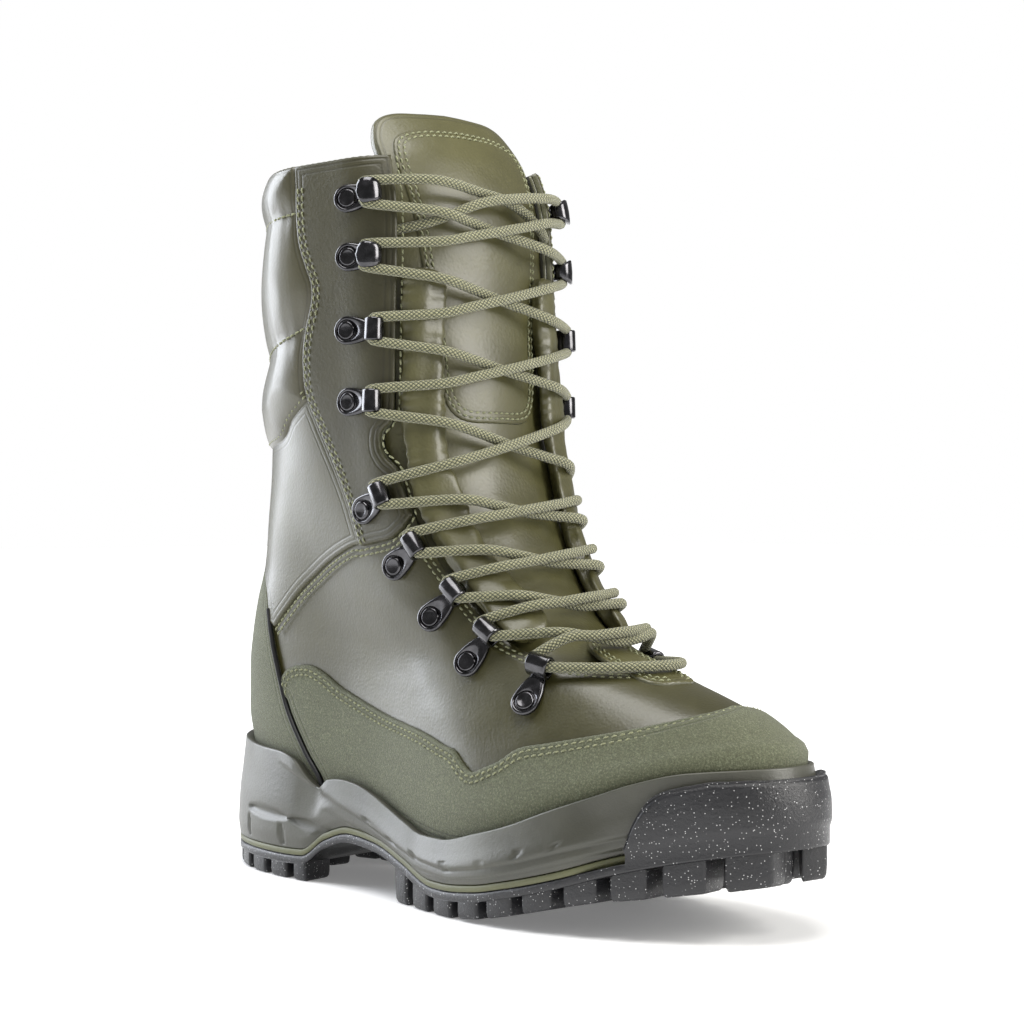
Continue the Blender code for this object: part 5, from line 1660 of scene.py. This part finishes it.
class BOOT_OT_tongue(bpy.types.Operator):
    """Lay the tongue, its outer panel and the gussets' rolls"""
    bl_idname = "boot.tongue"
    bl_label = "Tongue and gussets"

    def execute(self, context):
        low = -WALL - GAP - TONGUE_THICKNESS
        mesh = panel_mesh("tongue_skin", LINES.tongue, low, TONGUE_THICKNESS, 0.0022, edge=0.0030,
                          relief=tongue_relief, skirt=-0.0008)
        add_piece(mesh, "tongue_leather", "leather", "tongue")
        mesh = panel_mesh("tongue_lining", LINES.tongue, low + 0.0016, -0.0016, 0.0035, 0.0022, 0.003, inward=True,
                          skirt=0.0)
        add_piece(mesh, "lining_cloth", "lining")
        mesh = panel_mesh("tongue_panel", LINES.tongue_panel, -WALL - GAP - 0.0002, 0.0012, 0.0022,
                          relief=tongue_relief)
        add_piece(mesh, "tongue_leather", "leather")
        mesh = panel_mesh("tongue_tab", LINES.tab, 0.0, 0.0011, 0.0020)
        add_piece(mesh, "tongue_leather", "leather")
        for side, hand in SIDES:
            mesh = mesh_of("gusset_roll_" + hand, *gusset_parts(side))
            add_piece(mesh, "roll_leather", "leather", "gusset_" + hand)
        return {"FINISHED"}


def gusset_parts(side):
    """The folded roll of the gusset along one side of the throat."""
    steps, around = 220, 40
    share = np.linspace(0.0, 1.0, steps)
    heights = (0.350 + (0.835 - 0.350) * share) * COLLAR_HEIGHT
    half = np.array([throat_half(h) for h in heights])
    across = side * (half - GUSSET_WIDTH / 2.0 - GAP * 4)
    lift = -WALL + 2 * GAP + 0.0032
    middle = front_spot(across, heights, np.full(steps, lift))
    raised = front_spot(across, heights, np.full(steps, lift + 0.003))
    outward = unit(raised - middle)
    sideways = unit(np.cross(np.gradient(middle, axis=0), outward))
    ends = ramp(np.minimum(share, 1.0 - share), 0.0, 0.03)
    ends = np.sqrt(1.0 - (1.0 - ends) ** 2) * 0.9 + 0.1
    turn = 2.0 * np.pi * np.arange(around) / around
    width = 0.0170 / 2.0 * (1.0 + 0.05 * np.sin(share * 23.0))[:, None]
    tall = 0.0038 * (1.0 + 0.06 * np.sin(share * 31.0 + 1.0))[:, None]
    folds = (0.10 * np.sin(3.0 * turn[None] + 2.0 * np.sin(share * 9.0)[:, None])
             + 0.07 * np.sin(5.0 * turn[None] + share[:, None] * 14.0)) * 0.7
    puckers = 0.03 * np.sin(share * 160.0 + np.sin(share * 40.0) * 2.0)[:, None] * np.cos(turn)[None]
    size = (1.0 + folds + puckers) * ends[:, None]
    ring = (middle[:, None] + sideways[:, None] * (np.cos(turn)[None] * width * size)[..., None]
            + outward[:, None] * (np.sin(turn)[None] * tall * size)[..., None])
    points = ring.reshape(-1, 3)
    faces = grid_faces(steps, around, True)
    faces.append(tuple(range(around)))
    faces.append(tuple(reversed(range(len(points) - around, len(points)))))
    return facing_out((points, faces, {}), points.mean(axis=0))


class BOOT_OT_sole(bpy.types.Operator):
    """Form the midsole, the strip and the outsole"""
    bl_idname = "boot.sole"
    bl_label = "Sole"

    def execute(self, context):
        column = np.arange(DENSE) * COLUMNS / DENSE
        form = SoleForm(column, 0.0)
        rises = np.concatenate([np.linspace(0.0, 0.9, 46), np.linspace(0.915, 1.0, 8)])
        rows = []
        for up in rises:
            row = form.row(up)
            rows.append(row + form.outward * midsole_relief(row)[:, None])
        lip = rows[-1]
        for share, drop in ((0.12, -0.0003), (0.35, 0.0001), (0.7, 0.0008), (1.0, 0.0022)):
            row = lip + (form.inner - lip) * share
            row[:, 2] -= drop
            rows.append(row)
        middle = np.array((SOLE_LENGTH / 2.0 - HEEL_SPOT, -0.002, 0.03))
        under = rows[0].copy()
        under = under + (middle - under) * 0.12
        under[:, 2] = rows[0][:, 2]
        points = np.vstack([under] + rows)
        part = facing_out((points, grid_faces(len(rows) + 1, DENSE, True), {}), middle)
        add_piece(mesh_of("midsole_form", *part), "midsole_foam", "midsole", "midsole")

        def band(low, high, outset, bevel):
            rings = []
            for share, inset in ((0.0, bevel), (0.12, bevel * 0.3), (0.3, 0.0), (0.7, 0.0), (0.88, bevel * 0.3),
                                 (1.0, bevel)):
                flat, x = sole_ring(column, outset - inset)
                z = low(x) + (high(x) - low(x)) * share
                rings.append(np.stack([flat[:, 0] - HEEL_SPOT, flat[:, 1], z], axis=1))
            points = np.vstack(rings)
            faces = grid_faces(len(rings), DENSE, True)
            faces.append(tuple(range(DENSE)))
            faces.append(tuple(range(len(points) - DENSE, len(points))))
            return facing_out((points, faces, {}), points.mean(axis=0))

        _, x = sole_ring(column)
        part = band(strip_bottom, lambda v: strip_bottom(v) + STRIP_THICKNESS, -toe_inset(x), 0.0005)
        add_piece(mesh_of("midsole_strip_form", *part), "strip_foam", "strip", "midsole_strip")

        parts = [band(plate_bottom, lambda v: plate_bottom(v) + PLATE_THICKNESS, 0.0, 0.0005)]
        for start, end, width, slant in EDGE_LUGS:
            start, end, width, slant = (start * SOLE_LENGTH, end * SOLE_LENGTH, width * BALL_WIDTH,
                                        slant * SOLE_LENGTH)
            for side in (-1, 1):
                outline = [(start, edge_place(start, side)), (end, edge_place(end, side))]
                outline += [(v + slant, edge_place(v, side) - side * width) for v in (end, start)]
                parts.append(lug_parts(outline))
        for start, end, width in CENTRE_LUGS:
            start, end, half = start * SOLE_LENGTH, end * SOLE_LENGTH, width * BALL_WIDTH / 2.0
            mid = (start + end) / 2.0
            y = float(centre(np.array([mid]))[0])
            parts.append(lug_parts([(start, y - half * 0.6), (mid, y - half), (end, y - half * 0.6),
                                    (end, y + half * 0.6), (mid, y + half), (start, y + half * 0.6)]))
        parts = [facing_out(p, np.asarray(p[0]).mean(axis=0)) for p in parts]
        parts.append(bumper_parts())
        add_piece(join_meshes("outsole_form", parts), "outsole_rubber", "rubber", "outsole")
        return {"FINISHED"}


def edge_place(x, side):
    """How far across the sole's edge lies at a place along it."""
    columns = np.linspace(0.0, HEEL, 241) * -side
    flat, _ = sole_ring(columns, -0.0006)
    order = np.argsort(flat[:, 0])
    return float(np.interp(x, flat[order, 0], flat[order, 1]))


def line_distance(x, z, line):
    """Distance to a line of the side view in mm, and which side of it a point lies on."""
    line = np.asarray(line, float) * MM
    away, above = np.full(len(x), 1.0), np.zeros(len(x))
    for (ax, az), (bx, bz) in zip(line[:-1], line[1:]):
        dx, dz = bx - ax, bz - az
        share = np.clip(((x - ax) * dx + (z - az) * dz) / (dx * dx + dz * dz), 0.0, 1.0)
        far = np.hypot(x - ax - share * dx, z - az - share * dz)
        side = np.sign(dx * (z - az) - dz * (x - ax))
        above = np.where(far < away, side, above)
        away = np.minimum(away, far)
    return away, above


WING_LINE = ((66, 46), (86, 38.7), (114, 30.8), (138, 24.5), (159, 19.9), (184, 18.0), (204, 21.0), (223, 25.5),
             (240, 30.6), (258, 35.8), (275, 40.0))
LOW_LINE = ((96, 30.6), (114, 25.8), (138, 20.5), (159, 16.4), (184, 14.6), (204, 17.4), (223, 21.6), (240, 26.6),
            (258, 31.8), (275, 36.0))
# Ridges of the midsole's side: line, softness of the step, height, fall above it, width of the nick.
SIDE_RIDGES = ((WING_LINE, 0.00045, 0.0013, 0.009, 0.0007), (LOW_LINE, 0.0004, 0.0007, 0.0022, 0.0006))
# Hollows of the midsole's side: start, end, half height and depth, in mm.
HOLLOWS = (
    ((36, 26.6), (69, 25.4), 2.7, 1.5), ((71, 25.2), (104, 20.5), 2.8, 1.5),
    ((36.5, 23.5), (37.5, 15.0), 1.7, 1.3), ((64.5, 22.5), (65.5, 14.0), 1.7, 1.3),
    ((122, 31.0), (127, 28.4), 1.0, 0.9), ((140, 25.6), (145, 22.8), 1.0, 0.9), ((158, 22.4), (163, 19.6), 1.0, 0.9),
    ((181, 21.2), (185, 17.6), 1.1, 0.9), ((204, 25.4), (205, 20.6), 1.1, 0.9), ((223, 30.6), (221, 26.4), 1.1, 0.8),
    ((239, 34.0), (236, 30.4), 1.0, 0.7),
)


def midsole_relief(row):
    """Ridges, hollows and nicks of the midsole's side."""
    x, z = row[:, 0] + HEEL_SPOT, row[:, 2]
    ends = ramp(x, 0.060, 0.012) * np.clip((0.272 - x) / 0.012, 0.0, 1.0)
    total = np.zeros(len(x))
    for line, soft, high, fall, nick in SIDE_RIDGES:
        away, above = line_distance(x, z, line)
        signed = away * above
        step = 1.0 / (1.0 + np.exp(-np.clip(signed / soft, -30, 30)))
        total += ends * (high * step * np.exp(-np.maximum(signed, 0.0) / fall) - 0.0005 * bell(away, nick))
    for start, end, half, depth in HOLLOWS:
        (ax, az), (bx, bz) = np.array(start) * MM, np.array(end) * MM
        dx, dz = bx - ax, bz - az
        length = math.hypot(dx, dz)
        along = ((x - ax) * dx + (z - az) * dz) / length ** 2
        across = ((x - ax) * dz - (z - az) * dx) / length
        width = half * MM * np.sqrt(np.clip(1.0 - (2.0 * along - 1.0) ** 2, 0.0, 1.0)) + 1e-6
        total -= depth * MM * np.clip(1.0 - (across / width) ** 2, 0.0, 1.0) * ((along > 0) & (along < 1))
    return total


def bumper_parts():
    """The toe bumper: a skin over the midsole's front with a rounded rim."""
    reach = np.linspace(-8.9, 8.9, 260)
    _, x = sole_ring(reach)
    keep = x / SOLE_LENGTH >= 0.850
    reach, x = reach[keep], x[keep]
    outer = SoleForm(reach, BUMPER_THICKNESS + GAP)
    inner = SoleForm(reach, GAP)
    ups = np.linspace(0.0, 1.0, 60)
    grid = np.stack([outer.row(u) for u in ups])
    xs, zs = zip(*BUMPER_TOP)
    up_top = np.empty(len(reach))
    for j in range(len(reach)):
        top = np.interp((grid[:, j, 0] + HEEL_SPOT) / SOLE_LENGTH, xs, zs) * COLLAR_HEIGHT
        over = np.nonzero(grid[:, j, 2] > top)[0]
        up_top[j] = ups[over[0]] if len(over) else 1.0
    up_top = np.convolve(np.pad(up_top, 3, mode="edge"), np.ones(7) / 7.0, mode="valid")
    flat, _ = sole_ring(reach)
    rows = [np.stack([flat[:, 0] - HEEL_SPOT, flat[:, 1], plate_bottom(x) + 0.0008], axis=1)]
    for share in np.linspace(0.0, 1.0, 34):
        rim = 0.0009 * bell((1.0 - share) * up_top * 0.03, 0.0012)
        rows.append(outer.row(up_top * share * 0.985) - outer.outward * rim[:, None])
    edge = outer.row(up_top)
    back = inner.row(up_top)
    for share, drop in ((0.12, 0.0), (0.3, -0.0002), (0.6, 0.0), (1.0, 0.0012)):
        row = edge + (back - edge) * share
        row[:, 2] -= drop
        rows.append(row)
    points = np.vstack(rows)
    part = (points, grid_faces(len(rows), len(reach)), {})
    return facing_out(part, np.array((0.20, 0.006, 0.04)))


class BOOT_OT_eyelets(bpy.types.Operator):
    """Set the hooks and loops with their rivets"""
    bl_idname = "boot.eyelets"
    bl_label = "Hooks and loops"

    def execute(self, context):
        for side, hand in SIDES:
            for kind, rows in (("hook", HOOK_ROWS), ("loop", LOOP_ROWS)):
                for row in rows:
                    place, away, outward, along = row_frame(side, row)
                    parts = []
                    for points, faces, values in eyelet_parts(kind):
                        points = (place + points[:, :1] * away + points[:, 1:2] * outward
                                  + points[:, 2:] * along)
                        parts.append(facing_out((points, faces, values), points.mean(axis=0)))
                    name = "%s_%s_%s" % (kind, row[0], hand)
                    add_piece(join_meshes(name + "_metal", parts), "eyelet_metal", "gunmetal", name)
        return {"FINISHED"}


class BOOT_OT_lacing(bpy.types.Operator):
    """Run the cord through the eyelets"""
    bl_idname = "boot.lacing"
    bl_label = "Lace"

    def execute(self, context):
        sides = 16
        path = rounded_line(lace_route(), 8)
        points, faces, values = cord_parts(path, context.scene.boot_lacing.cord_radius, sides)
        faces += [tuple(range(sides + 1)), tuple(reversed(range(len(points) - sides - 1, len(points))))]
        names = ["lace_cross_%d" % i for i in range(1, len(ROWS))] + ["lace_bar"]
        add_piece(mesh_of("lace", points, faces, values), "lace_cord", "cord", *names)
        return {"FINISHED"}


class BOOT_OT_sewing(bpy.types.Operator):
    """Sew the seams and lay the piping"""
    bl_idname = "boot.sewing"
    bl_label = "Stitches and piping"

    def execute(self, context):
        settings = context.scene.boot_leather
        rows = (settings.first_row, settings.second_row)
        groups = {"stitches_low": [], "stitches_shaft": [], "stitches_tongue": []}

        def sew(group, line, ring, lift, rows):
            for row in rows:
                groups[group].append(stitch_parts(inner_line(line, ring, row), lift, settings))

        sew("stitches_low", LINES.rand_top, LINES.rand, GAP + RAND_THICKNESS, rows)
        for side, _ in SIDES:
            sew("stitches_low", mirror(LINES.quarter_seam, side), mirror(LINES.quarter, side),
                GAP + QUARTER_THICKNESS, rows)
            for line, kept in ((LINES.eyestay_back, rows), (LINES.eyestay_foot, rows),
                               (LINES.eyestay_front, rows[:1])):
                sew("stitches_shaft", mirror(line, side), mirror(LINES.eyestay, side),
                    GAP + EYESTAY_THICKNESS, kept)
        foot = LINES.throat[LINES.throat[:, 1] < LINES.eyestay_foot[-1, 1]]
        whole = joined(foot[::-1], across_toe(foot[::-1])[1:])
        sew("stitches_low", whole, LINES.vamp, 0.0, rows)
        sew("stitches_tongue", np.vstack([LINES.tongue_panel, LINES.tongue_panel[:1]]), LINES.tongue_panel,
            -WALL - GAP + 0.0011, rows)
        sew("stitches_tongue", LINES.tab[2:-2], LINES.tab, 0.0011, rows)
        for at, rise, _ in PAD_CHANNELS:
            ring = chart(LINES.pad)
            line = level_run(10.0, 38.0, at, 200)
            line[:, 1] += rise * np.abs(HEEL - line[:, 0])
            line = line[inside(chart(line), ring)]
            groups["stitches_shaft"].append(stitch_parts(line, GAP + 0.0006 + PAD_THICKNESS * 0.26, settings))
        low = LINES.pad_low
        both = joined(low, around_heel(low)[1:])
        sew("stitches_shaft", both, LINES.pad, GAP + 0.0022, rows)
        for name, parts in groups.items():
            add_piece(join_meshes(name, parts), "sewing_thread", "cord")
        parts = []
        for side, _ in SIDES:
            line = walk(mirror(LINES.piping, side), 0.0015)
            path = skin(line[:, 0], line[:, 1], np.full(len(line), GAP + RAND_THICKNESS * 0.8))
            points, faces, _ = cord_parts(path, 0.0010, 10, step=0.0015)
            parts.append((points, faces, {}))
        add_piece(join_meshes("piping", parts), "black_piping", "leather")
        return {"FINISHED"}


OPERATORS = (BOOT_OT_stage, BOOT_OT_materials, BOOT_OT_upper, BOOT_OT_panels, BOOT_OT_collar, BOOT_OT_tongue,
             BOOT_OT_sole, BOOT_OT_eyelets, BOOT_OT_lacing, BOOT_OT_sewing)


class BOOT_PT_panel(bpy.types.Panel):
    """The boot's settings and steps"""
    bl_idname = "BOOT_PT_panel"
    bl_label = "Winter Boot"
    bl_space_type = "VIEW_3D"
    bl_region_type = "UI"
    bl_category = "Boot"

    def draw(self, context):
        for attribute, group in GROUPS:
            box = self.layout.box()
            for name in group.__annotations__:
                box.prop(getattr(context.scene, attribute), name)
        for operator in OPERATORS:
            self.layout.operator(operator.bl_idname)


def register():
    for attribute, group in GROUPS:
        bpy.utils.register_class(group)
        setattr(bpy.types.Scene, attribute, bpy.props.PointerProperty(type=group))
    for item in OPERATORS + (BOOT_PT_panel,):
        bpy.utils.register_class(item)


def unregister():
    for item in reversed(OPERATORS + (BOOT_PT_panel,)):
        bpy.utils.unregister_class(item)
    for attribute, group in reversed(GROUPS):
        delattr(bpy.types.Scene, attribute)
        bpy.utils.unregister_class(group)


def main():
    register()
    bpy.ops.boot.stage()
    bpy.ops.boot.materials()
    bpy.ops.boot.upper()
    bpy.ops.boot.panels()
    bpy.ops.boot.collar()
    bpy.ops.boot.tongue()
    bpy.ops.boot.sole()
    bpy.ops.boot.eyelets()
    bpy.ops.boot.lacing()
    bpy.ops.boot.sewing()


if __name__ == "__main__":
    main()
